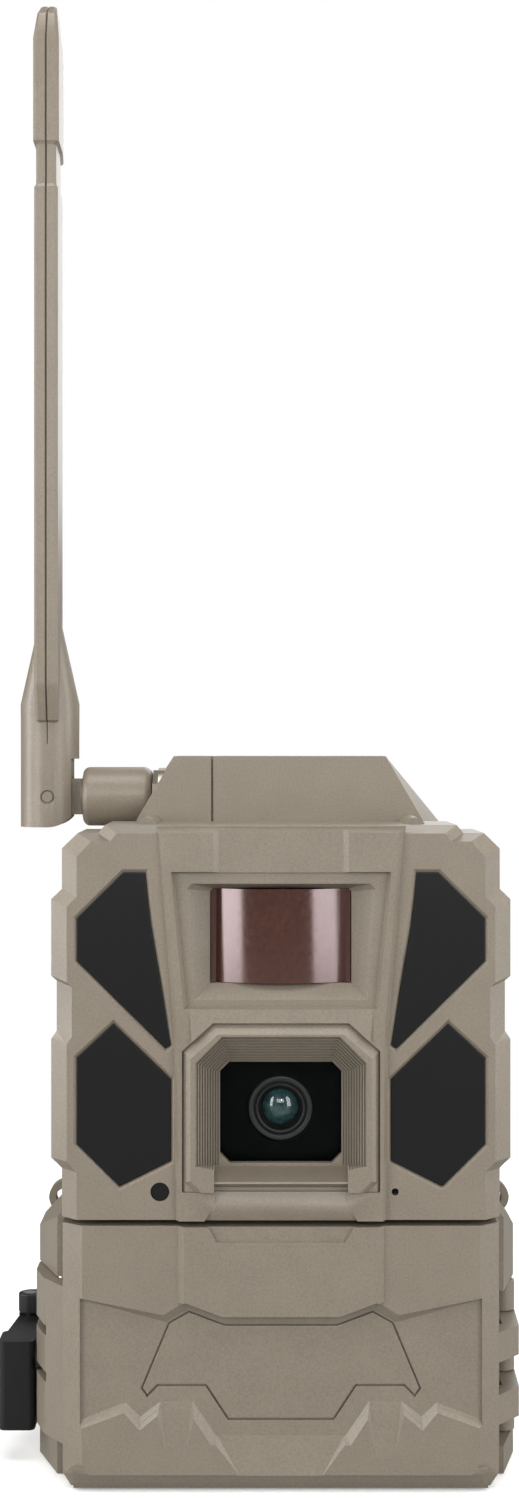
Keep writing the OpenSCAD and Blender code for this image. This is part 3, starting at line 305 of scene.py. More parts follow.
def softened_copy(part, width, material):
    """A CAD node's copy with its edges softened, dressed to stand for it."""
    piece = soften(copy_of(part, part + "_moulded"), width)
    return dress(piece, body_of(part), slot_of(part), material, part)


# ---------------------------------------------------------------- materials


def linear(code):
    """An sRGB hex colour as linear RGBA."""
    channels = [int(code[i : i + 2], 16) / 255 for i in (1, 3, 5)]
    return [c / 12.92 if c <= 0.04045 else ((c + 0.055) / 1.055) ** 2.4 for c in channels] + [1]


def shades(light, dark):
    """The lighter and darker tone of one surface."""
    return linear(light), linear(dark)


def node(tree, kind, settings=None, **links):
    """Adds a node, sets its fields and sockets, and links what feeds it."""
    added = tree.nodes.new(kind)
    for key, value in (settings or {}).items():
        if hasattr(added, key):
            setattr(added, key, value)
        else:
            added.inputs[key].default_value = value
    for key, source in links.items():
        tree.links.new(source, added.inputs[key.replace("_", " ")])
    return added


def new_material(name):
    """A new material with its node tree and its shader."""
    material = bpy.data.materials.new(name)
    material.use_nodes = True
    shader = material.node_tree.nodes["Principled BSDF"]
    return material, material.node_tree, shader


def moulded_plastic(name, tones, roughness, grain=0.45, depth=0.05, specular=0.5, mottle=9.0):
    """Moulded polymer: a spark-eroded grain over faint flow marks, sized in millimetres."""
    material, tree, shader = new_material(name)
    place = node(tree, "ShaderNodeTexCoord").outputs["Object"]
    flow = node(tree, "ShaderNodeTexNoise", {"Scale": 1 / (mottle * MM), "Detail": 3.0}, Vector=place)
    fine = node(tree, "ShaderNodeTexNoise", {"Scale": 1 / (grain * MM), "Detail": 2.0}, Vector=place)
    mixed = node(
        tree, "ShaderNodeMix", {"Factor": 0.75}, A=flow.outputs["Fac"], B=fine.outputs["Fac"]
    )
    tone = node(tree, "ShaderNodeValToRGB", {}, Fac=mixed.outputs["Result"])
    low, high = tone.color_ramp.elements
    low.position, high.position = 0.32, 0.68
    high.color, low.color = tones
    sheen = node(
        tree,
        "ShaderNodeMapRange",
        {"To Min": roughness - 0.05, "To Max": roughness + 0.08},
        Value=fine.outputs["Fac"],
    )
    bump = node(
        tree, "ShaderNodeBump", {"Strength": 0.35, "Distance": depth * MM}, Height=fine.outputs["Fac"]
    )
    tree.links.new(tone.outputs["Color"], shader.inputs["Base Color"])
    tree.links.new(sheen.outputs["Result"], shader.inputs["Roughness"])
    tree.links.new(bump.outputs["Normal"], shader.inputs["Normal"])
    shader.inputs["Specular IOR Level"].default_value = specular
    shader.inputs["IOR"].default_value = 1.5
    return material, shader


def turned_metal(name, tones, roughness, grain=0.3):
    """Machined or drawn metal: fine uneven tool marks, sized in millimetres."""
    _, tree, shader = new_material(name)
    place = node(tree, "ShaderNodeTexCoord").outputs["Object"]
    fine = node(tree, "ShaderNodeTexNoise", {"Scale": 1 / (grain * MM), "Detail": 4.0}, Vector=place)
    tone = node(tree, "ShaderNodeValToRGB", {}, Fac=fine.outputs["Fac"])
    low, high = tone.color_ramp.elements
    high.color, low.color = tones
    wear = node(
        tree,
        "ShaderNodeMapRange",
        {"To Min": roughness - 0.08, "To Max": roughness + 0.12},
        Value=fine.outputs["Fac"],
    )
    tree.links.new(tone.outputs["Color"], shader.inputs["Base Color"])
    tree.links.new(wear.outputs["Result"], shader.inputs["Roughness"])
    shader.inputs["Metallic"].default_value = 1.0


def make_housing_materials():
    colours = bpy.context.scene.trail_camera_colours
    housing = (colours.housing_light, colours.housing_dark)
    # ABS from a spark-eroded mould: a soft sheen, and a grain drawn at 0.5 mm, coarser than
    # the real one, so that it just shows
    moulded_plastic("Moulded ABS taupe", housing, 0.4, 0.5, 0.03, 0.55)
    # Nylon-filled antenna cover: the same colour with a slightly closer grain
    moulded_plastic("Moulded nylon taupe", housing, 0.38, 0.4, 0.02)
    # Glass-filled nylon: deep black with a dry sheen
    moulded_plastic("Black nylon", shades("#101011", "#0B0B0C"), 0.4, 0.4, 0.02, 0.4)
    # Moulded EPDM seal: a dull dark grey that hardly reflects
    moulded_plastic("EPDM rubber", shades("#1A1A1A", "#121212"), 0.7, 0.5, 0.03, 0.3)
    # Moulded ABS switch knob: a saturated orange with a soft sheen
    moulded_plastic("Orange ABS", shades("#C2471E", "#A83A16"), 0.38, 0.4, 0.01)


def make_window_materials():
    # Moulded infrared-pass polycarbonate: looks black and satin
    moulded_plastic("Infrared polycarbonate", shades("#0F0F10", "#0A0A0B"), 0.36, 0.25, 0.006, 0.3)
    # Moulded polyethylene lens sheet: waxy, dark red-brown, smooth outside, with pinkish gloss
    tones = shades("#47281D", "#3B2017")
    _, shader = moulded_plastic("Lens sheet polyethylene", tones, 0.14, 0.8, 0.002, 1.0, 14)
    shader.inputs["Specular Tint"].default_value = (1.0, 0.84, 0.86, 1)
    shader.inputs["IOR"].default_value = 1.6
    # Black sheet behind the glass: painted shade, standing in for the dark interior seen through it
    moulded_plastic("Black sheet for painted shade", shades("#020604", "#010302"), 0.9, 0.4, 0.001, 0.05)
    # Cast and coated cover glass: almost clear, with a sharp reflection
    tones = shades("#020806", "#010504")
    glass, shader = moulded_plastic("Coated glass", tones, 0.06, 1.2, 0.001, 0.35, 20)
    shader.inputs["Alpha"].default_value = 0.1
    glass.surface_render_method = "BLENDED"
    # Polished element with a blue-green coating that varies over its dome
    tones = shades("#3E6660", "#1E3A44")
    _, shader = moulded_plastic("Coated lens element", tones, 0.03, 1.2, 0.001, 1.0, 2.2)
    shader.inputs["Coat Weight"].default_value = 1.0
    # Turned and anodised aluminium ring: dark grey with a silky sheen
    tones = shades("#2C2C2E", "#222224")
    moulded_plastic("Black anodised aluminium", tones, 0.3, 0.3, 0.005, 0.7)
    # Sprayed paint against stray light: near black, so the bore hardly shines
    moulded_plastic("Matt black paint", shades("#0B0B0C", "#070708"), 0.65, 0.3, 0.005, 0.2)
    # Laminated display cover: dark, grey-green and glossy
    moulded_plastic("Display glass", shades("#20302C", "#182622"), 0.08, 0.8, 0.002, 0.6, 20)


def make_inner_materials():
    # Cured solder mask over glass cloth: green, with a weave's unevenness
    moulded_plastic("Solder mask on FR4", shades("#1F5A33", "#17482A"), 0.35, 0.9, 0.02, 0.5, 3)
    # Cast epoxy around a diode: smoky and glossy
    moulded_plastic("Epoxy dome", shades("#6A6A72", "#5A5A62"), 0.15, 0.6, 0.005, 0.7, 2)
    # Shrunk PVC sleeve: glossy, with broad dark and copper patches
    moulded_plastic("PVC cell sleeve", shades("#2B2B30", "#B08A3E"), 0.25, 0.6, 0.005, 0.5, 30)
    # Moulded card body: an even blue with a fine texture
    moulded_plastic("Card plastic", shades("#1D2C5E", "#17244E"), 0.4, 0.5, 0.01)
    # Drawn and zinc-plated steel: bright, with slightly dull patches
    turned_metal("Zinc-plated steel", shades("#C8CBD0", "#9EA2A8"), 0.3)
    # Turned brass: yellow, with fine tool marks
    turned_metal("Turned brass", shades("#D8B36A", "#B08A45"), 0.28)
    # Nickel plating over turned brass: a warm grey
    turned_metal("Nickel-plated brass", shades("#B9B0A2", "#928A7D"), 0.35)


# ---------------------------------------------------------------- outlines, in millimetres

COLUMN_TOP = both([(27.7, SHELL_TOP - 2.0), (24.1, 107.9), (23.7, SHELL_LOW)])
COLUMN_FOOT = both([(29.1, SHELL_TOP - 1.6), (25.3, 107.9), (24.7, SHELL_LOW)])
RECESS_OUT = both([(20.9, 142.0), (22.1, 140.7), (20.3, 114.9)])
RECESS_IN = both([(15.9, 140.6), (16.6, 139.9), (16.6, 118.4)])
BEZEL_OUT = both([(25.6, 144.8), (22.6, 112.9)])
BEZEL_IN = both([(25.0, 144.5), (21.9, 113.4)])
UPPER_WINDOW = [
    (36.7, 144.6), (31.6, 144.6), (31.0, 138.5), (30.2, 132.0), (28.9, 124.4), (27.6, 116.8),
    (25.7, 104.3), (26.9, 103.4), (47.6, 123.9), (47.6, 133.9),
]
LOWER_WINDOW = [(39.0, 109.4), (47.6, 101.4), (47.6, 81.2), (37.6, 71.3), (25.6, 77.3), (25.6, 96.4)]
DOOR_RELIEF = both(
    [
        (13.7, 41.4), (22.2, 44.6), (27.5, 41.6), (46.3, 45.4), (46.3, 16.2),
        (36.6, 19.9), (32.9, 15.9), (27.8, 20.1), (21, 20.1), (15.7, 12.2),
    ]
)
RELIEF_FRONT = both(
    [
        (13.7, 41.5), (22.2, 44.7), (27.5, 41.5), (46.9, 45.4), (46.9, 14.9),
        (36.5, 18.7), (33.0, 14.6), (27.5, 19.1), (21.5, 19.1), (16.3, 11.2),
    ]
)
RELIEF_FLOOR = both(
    [
        (13.7, 38.7), (22.1, 42.2), (26.8, 39.5), (46.9, 45.0), (46.9, 16.7),
        (36.3, 20.8), (32.8, 17.5), (28.2, 21.0), (20.5, 21.0), (15.1, 13.0),
    ]
)
PANEL = both(
    [
        (13.2, 38.7), (21.4, 41.8), (26.0, 39.2), (32.3, 24.1), (31.2, 22.6),
        (28.9, 25.0), (17.4, 25.0), (12.2, 17.1),
    ]
)


# ---------------------------------------------------------------- properties


class TrailCameraSizes(bpy.types.PropertyGroup):
    """Sizes of the finishing details."""

    mould_radius: bpy.props.FloatProperty(
        name="Mould radius",
        description="Largest radius on the edges of the front shell and door, before the clamp",
        default=0.35 * MM,
        min=0.1 * MM,
        max=0.8 * MM,
        precision=5,
        unit="LENGTH",
    )
    facet_depth: bpy.props.FloatProperty(
        name="Facet depth",
        description="Depth of the facet above the motion window",
        default=1.0 * MM,
        min=0.2 * MM,
        max=1.4 * MM,
        precision=5,
        unit="LENGTH",
    )
    rib_depth: bpy.props.FloatProperty(
        name="Rib depth",
        description="Depth of the anti-glare grooves in the lens hood",
        default=0.8 * MM,
        min=0.2 * MM,
        max=1.2 * MM,
        precision=5,
        unit="LENGTH",
    )
    rib_count: bpy.props.IntProperty(
        name="Hood ribs",
        description="Number of anti-glare grooves in the lens hood",
        default=9,
        min=4,
        max=12,
    )


class TrailCameraColours(bpy.types.PropertyGroup):
    """Colours of the main finishes and of the stage."""

    housing_light: bpy.props.FloatVectorProperty(
        name="Housing, light",
        description="Lighter tone of the housing and antenna",
        default=linear("#82786A"),
        min=0.0,
        max=1.0,
        size=4,
        subtype="COLOR",
    )
    housing_dark: bpy.props.FloatVectorProperty(
        name="Housing, dark",
        description="Darker tone of the housing and antenna",
        default=linear("#726A5D"),
        min=0.0,
        max=1.0,
        size=4,
        subtype="COLOR",
    )
    floor: bpy.props.FloatVectorProperty(
        name="Floor",
        description="Colour of the studio floor",
        default=linear("#F4F4F2"),
        min=0.0,
        max=1.0,
        size=4,
        subtype="COLOR",
    )


# ---------------------------------------------------------------- pieces


class TRAILCAM_OT_front_shell(bpy.types.Operator):
    """Front shell with its raised column, faceted brow and drafted window recess"""

    bl_idname = "trailcam.front_shell"
    bl_label = "Front shell"

    def execute(self, context):
        sizes = context.scene.trail_camera_sizes
        shell = copy_of("front_shell", "front_shell_moulded")
        # Fill the straight-sided recess, then cut it again with drafted sides
        fill = both([(22.4, 141.7), (20.3, 116.6)])
        add(shell, [front_ring(fill, COLUMN), front_ring(fill, RECESS_FLOOR + 0.6)])
        add(shell, [front_ring(COLUMN_TOP, COLUMN), front_ring(COLUMN_FOOT, FACE + 0.5)])
        bezel_depth = 1.5
        cut(
            shell,
            [
                front_ring(BEZEL_OUT, OUTSIDE),
                front_ring(BEZEL_OUT, COLUMN),
                front_ring(BEZEL_IN, COLUMN + bezel_depth + 0.05),
            ],
        )
        cut(
            shell,
            [
                front_ring(RECESS_OUT, OUTSIDE),
                front_ring(RECESS_OUT, COLUMN + bezel_depth),
                front_ring(RECESS_IN, RECESS_FLOOR),
                front_ring(RECESS_IN, RECESS_FLOOR + 3),
            ],
        )
        # Slope along the top of the column
        slope = [(COLUMN - 1, SHELL_TOP - 4.6), (COLUMN - 1, SHELL_TOP + 1), (FACE + 0.3, SHELL_TOP + 1)]
        slope += [(FACE + 0.3, SHELL_TOP - 1.9), (COLUMN, SHELL_TOP - 3.2)]
        cut(shell, [side_ring(slope, -30), side_ring(slope, 30)])
        # Middle facet of the brow
        facet = COLUMN + sizes.facet_depth / MM
        wide = both([(15.7, 144.0), (15.7, SHELL_TOP)])
        narrow = both([(14.5, 144.0), (14.5, SHELL_TOP)])
        cut(shell, [front_ring(wide, OUTSIDE), front_ring(wide, COLUMN), front_ring(narrow, facet)])
        # Sloping panel between the recess and the hood
        roof_high, roof_low = 112.9, 101.5
        roof = both([(21.4, roof_high), (20.4, roof_low)])
        nose = [(x, COLUMN - (0.02 if z == roof_high else 0.95), z) for x, z in roof]
        add(shell, [front_ring(roof, FACE + 1), nose])
        # Light rims around the infrared windows
        for outline in (UPPER_WINDOW, LOWER_WINDOW):
            for rim in (outline, mirror_image(outline)):
                wide, narrow = spread(rim, 0.75), spread(rim, 0.03)
                cut(shell, [front_ring(wide, FACE - 0.01), front_ring(narrow, FACE + 0.7)])
        # Seat of the hood, the slope below it and the notch over the door
        hood = both([(15.8, SHELL_TOP - 47.4), (23.0, SHELL_TOP - 53.9), (23.0, 70.4)])
        cut(shell, [front_ring(hood, OUTSIDE), front_ring(hood, HOOD_BACK - 0.01)])
        slope = [(OUTSIDE, 67.6), (COLUMN, 67.6), (COLUMN + 1.2, 70.6)]
        slope += [(COLUMN + 1.2, 71.4), (OUTSIDE, 71.4)]
        cut(shell, [side_ring(slope, -15.3), side_ring(slope, 15.3)])
        notch = [(16.3, OUTSIDE, 66.0), (16.3, COLUMN, 66.0)]
        notch += [(18.3, COLUMN + 1.5, 62.9), (18.3, OUTSIDE, 62.9)]
        cut(shell, [[(-x, y, z) for x, y, z in notch], notch])
        soften(shell, sizes.mould_radius / MM)
        dress(shell, "housing", "housing_plastic", "Moulded ABS taupe", "front_shell")
        return {"FINISHED"}


def mouth_outline(t):
    """Outline of the hood's mouth: t runs from 0 at the front to 1 at the glass."""
    half = 19.9 - 5.3 * t
    high = LENS_Z + 18.9 - 6.7 * t
    corner = 6.2 - 3.5 * t
    return both([(half - corner, high), (half, high - corner), (half, LENS_Z - 11.2 - t)])


class TRAILCAM_OT_lens_hood(bpy.types.Operator):
    """Lens hood with its sloped frame, fine anti-glare steps and lower lip"""

    bl_idname = "trailcam.lens_hood"
    bl_label = "Lens hood"

    def execute(self, context):
        sizes = context.scene.trail_camera_sizes
        top = SHELL_TOP - 47.5
        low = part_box("lens_hood")[0].z / MM
        outer = both([(15.8, top), (22.9, top - 6.4), (22.9, low)])
        frame_edge = both([(14.6, top - 2.4), (21.0, top - 8.1), (21.0, low)])
        rings = [front_ring(outer, HOOD_BACK), front_ring(outer, HOOD_FRONT + 1.9)]
        hood = loft("lens_hood_moulded", rings + [front_ring(frame_edge, HOOD_FRONT)])
        # Sloping mouth, then the anti-glare grooves around it
        lip, deep = HOOD_FRONT + 0.6, 6.4
        cut(
            hood,
            [
                front_ring(mouth_outline(0), OUTSIDE),
                front_ring(mouth_outline(0), lip),
                front_ring(mouth_outline(1), lip + deep),
            ],
        )
        for i in range(sizes.rib_count):
            t, u = (i + 0.5) / sizes.rib_count, (i + 1) / sizes.rib_count
            inner = [(x, z - (3 if z < LENS_Z else 0)) for x, z in mouth_outline(u)]
            floor = lip + deep * t + sizes.rib_depth / MM
            rings = [front_ring(mouth_outline(t), OUTSIDE), front_ring(mouth_outline(t), floor)]
            groove = loft("Groove", rings)
            cut(groove, [front_ring(inner, OUTSIDE - 1), front_ring(inner, HOOD_BACK)])
            combine(hood, groove, "DIFFERENCE")
        # Opening for the glass
        half, high, low, c = 14.3, 12.1, -11.7, 2.3
        glass = both([(half - c, high), (half, high - c), (half, low + c), (half - c, low)])
        opening = [(x, z + LENS_Z) for x, z in glass]
        cut(hood, [front_ring(opening, OUTSIDE), front_ring(opening, HOOD_BACK + 1)])
        # Lower lip: slopes out from the glass to a nose, then back under it
        mouth = [
            (HOOD_FRONT - 2, LENS_Z - 11.2),
            (HOOD_BACK - 3.0, LENS_Z - 11.2),
            (HOOD_BACK - 3.0, LENS_Z - 12.2),
            (HOOD_FRONT + 0.6, LENS_Z - 14.9),
            (HOOD_FRONT + 0.5, LENS_Z - 15.3),
            (HOOD_FRONT + 1.0, LENS_Z - 15.6),
            (COLUMN + 1.6, LENS_Z - 16.5),
            (COLUMN + 1.6, LENS_Z - 20),
            (HOOD_FRONT - 2, LENS_Z - 20),
        ]
        cut(hood, [side_ring(mouth, -15.5), side_ring(mouth, 15.5)])
        # Cheeks slope back at their lower outer corners
        wedge = [(23.5, 77.0), (15.5, 69.0), (23.5, 69.0)]
        tip = [(23.5, 74.0), (18.5, 69.0), (23.5, 69.0)]
        for mirrored in (True, False):
            rings = [mirror_image(ring) if mirrored else ring for ring in (wedge, tip)]
            cut(hood, [front_ring(rings[0], HOOD_FRONT - 1), front_ring(rings[1], COLUMN + 0.3)])
        soften(hood, 0.12, 1)
        dress(hood, "housing", "housing_plastic", "Moulded ABS taupe", "lens_hood")
        return {"FINISHED"}


class TRAILCAM_OT_door(bpy.types.Operator):
    """Battery door with its stepped relief, facets and centre panel"""

    bl_idname = "trailcam.door"
    bl_label = "Door"

    def execute(self, context):
        sizes = context.scene.trail_camera_sizes
        door = copy_of("door", "door_moulded")
        grown = [(x * 1.004, 30 + (z - 30) * 1.004) for x, z in DOOR_RELIEF]
        add(door, [front_ring(grown, FACE), front_ring(grown, FACE + 2.4)])
        rings = [front_ring(RELIEF_FRONT, OUTSIDE), front_ring(RELIEF_FRONT, FACE - 0.001)]
        cut(door, rings + [front_ring(RELIEF_FLOOR, FACE + RELIEF)])
        # Steeper bevel along the bottom
        low = [(FACE, 4.7), (FACE + 2.2, 0.5), (FACE + 5, 0.5), (FACE + 5, 6), (FACE, 6)]
        add(door, [side_ring(low, -48.5), side_ring(low, 48.5)])
        # The relief fades out below its level stretches: middle, half width, top and bottom of each
        stretches = ((0, 14.9, 13.1, 3.0), (24.4, 3.6, 21.1, 9.0), (-24.4, 3.6, 21.1, 9.0))
        for x, half, high, low in stretches:
            top = [(x - half - 1.4, FACE - 0.02, high), (x + half + 1.4, FACE - 0.02, high)]
            top += [(x + half * 0.7, FACE - 0.02, low), (x - half * 0.7, FACE - 0.02, low)]
            deep = [(x - half, FACE + RELIEF, high), (x + half, FACE + RELIEF, high)]
            deep += [(x + half * 0.6, FACE, low + 0.05), (x - half * 0.6, FACE, low + 0.05)]
            cut(door, [front_ring([(px, pz) for px, _, pz in top], FACE - 5), top, deep])
        # Seat of the centre panel
        seat = spread(PANEL, 0.42)
        cut(door, [front_ring(seat, OUTSIDE), front_ring(seat, FACE + RELIEF + 0.75)])
        soften(door, sizes.mould_radius / MM * 0.7)
        dress(door, "door", "housing_plastic", "Moulded ABS taupe", "door")
        panel_back, panel_front = FACE + RELIEF + 0.74, FACE + RELIEF - 0.02
        rings = [front_ring(PANEL, panel_back), front_ring(PANEL, panel_front)]
        panel = loft("door_panel_moulded", rings)
        soften(panel, 0.22)
        dress(panel, "door", "housing_plastic", "Moulded ABS taupe", "door_panel")
        return {"FINISHED"}


class TRAILCAM_OT_rear_shell(bpy.types.Operator):
    """Rear shell, strap bracket and the two hump covers with their groove"""

    bl_idname = "trailcam.rear_shell"
    bl_label = "Rear shell"

    def execute(self, context):
        for part, width in (("rear_shell", 0.3), ("strap_bracket", 0.4)):
            softened_copy(part, width, "Moulded ABS taupe")
        # The two hump covers meet in a groove
        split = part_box("hump_cover")[0].x / MM
        front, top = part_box("hump_cover")[0].y / MM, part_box("hump_cover")[1].z / MM
        for part in ("hump_cover", "connector_cover"):
            cover = copy_of(part, part + "_moulded")
            front_groove = ((front - 1, 150), (front + 0.7, top + 1))
            top_groove = ((front - 1, top - 0.6), (25, top + 1))
            for low, high in (front_groove, top_groove):
                groove = [low, (high[0], low[1]), high, (low[0], high[1])]
                cut(cover, [side_ring(groove, split - 0.27), side_ring(groove, split + 0.27)])
            soften(cover, 0.3)
            dress(cover, "housing", "housing_plastic", "Moulded ABS taupe", part)
        return {"FINISHED"}


class TRAILCAM_OT_windows(bpy.types.Operator):
    """Infrared windows, motion-sensor sheet and lens glass"""

    bl_idname = "trailcam.windows"
    bl_label = "Windows"

    def execute(self, context):
        for level in ("upper", "lower"):
            for side in ("left", "right"):
                softened_copy(f"ir_window_{level}_{side}", 0.25, "Infrared polycarbonate")
        softened_copy("pir_window", 0.1, "Lens sheet polyethylene")
        # Black sheet on the back of the glass, painted shade for the dark interior behind it, clear in
        # front of the lens
        low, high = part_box("lens_window")
        sheet = [(low.x, low.z), (high.x, low.z), (high.x, high.z), (low.x, high.z)]
        sheet = [(x / MM, z / MM) for x, z in sheet]
        back = high.y / MM
        mask = loft("lens_painted_shade_sheet", [front_ring(sheet, back + 0.02), front_ring(sheet, back + 0.12)])
        hole_r = 8.0
        hole = [(hole_r * math.cos(a), LENS_Z + hole_r * math.sin(a)) for a in turns(72)]
        cut(mask, [front_ring(hole, back - 1), front_ring(hole, back + 1)])
        dress(mask, "housing", "black_plastic", "Black sheet for painted shade")
        # Stepped nose of the lens, turned as one profile around its axis
        ring_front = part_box("lens_ring")[0].y / MM
        rim = [(7.66, 0.9), (7.66, -0.35), (7.45, -0.5), (6.6, -0.5), (6.4, -0.3), (6.4, 0.9)]
        inner_rim = [(6.05, 0.9), (6.05, -0.1), (5.92, -0.25), (5.48, -0.25), (5.35, -0.1), (5.35, 0.9)]
        cone = [(6.6, 2.6), (6.6, 0.6), (5.9, 0.6), (5.34, 0.1), (4.7, 1.5), (4.6, 2.2), (4.6, 2.6)]
        rings = (
            ("lens_rim", "Black anodised aluminium", rim),
            ("lens_inner_rim", "Black anodised aluminium", inner_rim),
            ("lens_cone", "Matt black paint", cone),
        )
        for name, material, profile in rings:
            ring = turned(name, profile, LENS_Z, ring_front + 0.3)
            dress(soften(ring, 0.05, 1), "housing", "black_plastic", material)
        softened_copy("light_sensor", 0.2, "Infrared polycarbonate")
        return {"FINISHED"}


class TRAILCAM_OT_latch(bpy.types.Operator):
    """Side latch and its base"""

    bl_idname = "trailcam.latch"
    bl_label = "Latch"

    def execute(self, context):
        softened_copy("latch_lever", 0.5, "Black nylon")
        softened_copy("latch_base", 0.4, "Black nylon")
        softened_copy("jack_cover", 0.35, "EPDM rubber")
        return {"FINISHED"}


def blade_section(axis, mid, z, half, front):
    """Cross-section of the paddle, with a parting groove along both edges."""
    reach = mid - front
    side = [
        (0.0, front + 0.7), (0.28, front), (half - 0.7, front), (half, front + min(0.9, reach)),
        (half, mid), (half - 0.75, mid + reach - 1.2), (half - 1.3, mid + reach), (0.28, mid + reach),
        (0.0, mid + reach - 0.7),
    ]
    other = [(-x, y) for x, y in reversed(side[1:-1])]
    return [(axis + x, y, z) for x, y in side + other]


class TRAILCAM_OT_antenna(bpy.types.Operator):
    """Paddle antenna with its knuckle, elbow and coupling nut"""

    bl_idname = "trailcam.antenna"
    bl_label = "Antenna"

    def execute(self, context):
        for part, width in (("antenna_nut", 0.6), ("antenna_elbow", 0.4)):
            softened_copy(part, width, "Moulded nylon taupe")
        low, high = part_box("antenna_knuckle")
        axis = (low.x + high.x) / 2 / MM
        knuckle_front, knuckle_top = low.y / MM, high.z / MM
        pin_z = (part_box("antenna_elbow")[0].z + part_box("antenna_elbow")[1].z) / 2 / MM
        knuckle = copy_of("antenna_knuckle", "antenna_knuckle_moulded")
        # Ring around the pin's head
        outer, inner = (
            [(axis + r * math.cos(a), pin_z + r * math.sin(a)) for a in turns(40)] for r in (1.75, 1.3)
        )
        cut(knuckle, [front_ring(outer, knuckle_front - 2), front_ring(outer, knuckle_front + 0.75)])
        add(knuckle, [front_ring(inner, knuckle_front + 0.2), front_ring(inner, knuckle_front + 1.5)])
        soften(knuckle, 0.3)
        dress(knuckle, "antenna", "antenna_plastic", "Moulded nylon taupe", "antenna_knuckle")
        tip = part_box("antenna_blade_left")[1].z / MM
        depth_mid = (low.y + high.y) / 2 / MM
        # Height, half thickness and front edge of each cross-section
        sections = (
            (179.4, 2.4, -2.4), (180.6, 2.8, -4.4), (188.6, 2.95, -6.7), (190.0, 2.95, -7.0),
            (312.6, 2.95, -7.0), (313.4, 2.5, -6.5), (323.2, 2.5, -6.5), (324.0, 3.2, -7.0),
            (349.6, 3.2, -7.0), (356.6, 2.5, -4.0), (tip, 2.0, 0.2),
        )
        rings = [blade_section(axis, depth_mid, *section) for section in sections]
        paddle = loft("antenna_paddle", rings)
        base = [(knuckle_top, 7.35), (184.6, 7.4), (204.5, 3.0)]
        rings = [
            [(axis + r * math.cos(a), depth_mid + r * math.sin(a), z) for a in turns(64)]
            for z, r in base
        ]
        add(paddle, rings)
        slit = [(axis - 0.3, knuckle_front - 1), (axis + 0.3, knuckle_front - 1)]
        slit += [(axis, knuckle_front + 0.6)]
        cut(paddle, [[(x, y, z) for x, y in slit] for z in (knuckle_top - 1, 180.5)])
        soften(paddle, 0.28)
        blades = ("antenna_blade_left", "antenna_blade_right")
        dress(paddle, "antenna", "antenna_plastic", "Moulded nylon taupe", *blades)
        return {"FINISHED"}


class TRAILCAM_OT_fittings(bpy.types.Operator):
    """Finishes for the fittings and inner parts that keep their CAD shape"""

    bl_idname = "trailcam.fittings"
    bl_label = "Fittings"

    finishes = {
        "EPDM rubber": ("shell_gasket", "door_gasket"),
        "Zinc-plated steel": (
            "shell_screws", "pir_sensor", "modem_module", "hinge_pin", "latch_pin", "battery_contacts",
            "sd_socket", "sim_socket", "bracket_screws",
        ),
        "Turned brass": ("tripod_inserts",),
        "Nickel-plated brass": ("antenna_connector",),
        "Matt black paint": ("lens_barrel", "lens_ring"),
        "Coated lens element": ("lens_element",),
        "Coated glass": ("lens_window",),
        "Solder mask on FR4": (
            "image_sensor_board", "ir_board_left", "ir_board_right", "main_board", "control_board",
        ),
        "Epoxy dome": ("ir_leds",),
        "Black nylon": (
            "microphone", "board_parts", "battery_tray", "tray_front", "tray_back", "control_panel",
            "power_jack", "button_left", "button_ok", "button_right",
        ),
        "PVC cell sleeve": ("battery_cells",),
        "Display glass": ("display",),
        "Card plastic": ("sd_card", "sim_card"),
        "Orange ABS": ("power_switch",),
    }

    def execute(self, context):
        for material, names in self.finishes.items():
            for name in names:
                part = frame["nodes"][name]
                part.data.materials.clear()
                part.data.materials.append(bpy.data.materials[material])
                activate(part)
                bpy.ops.object.shade_smooth_by_angle(angle=math.radians(32))
        return {"FINISHED"}


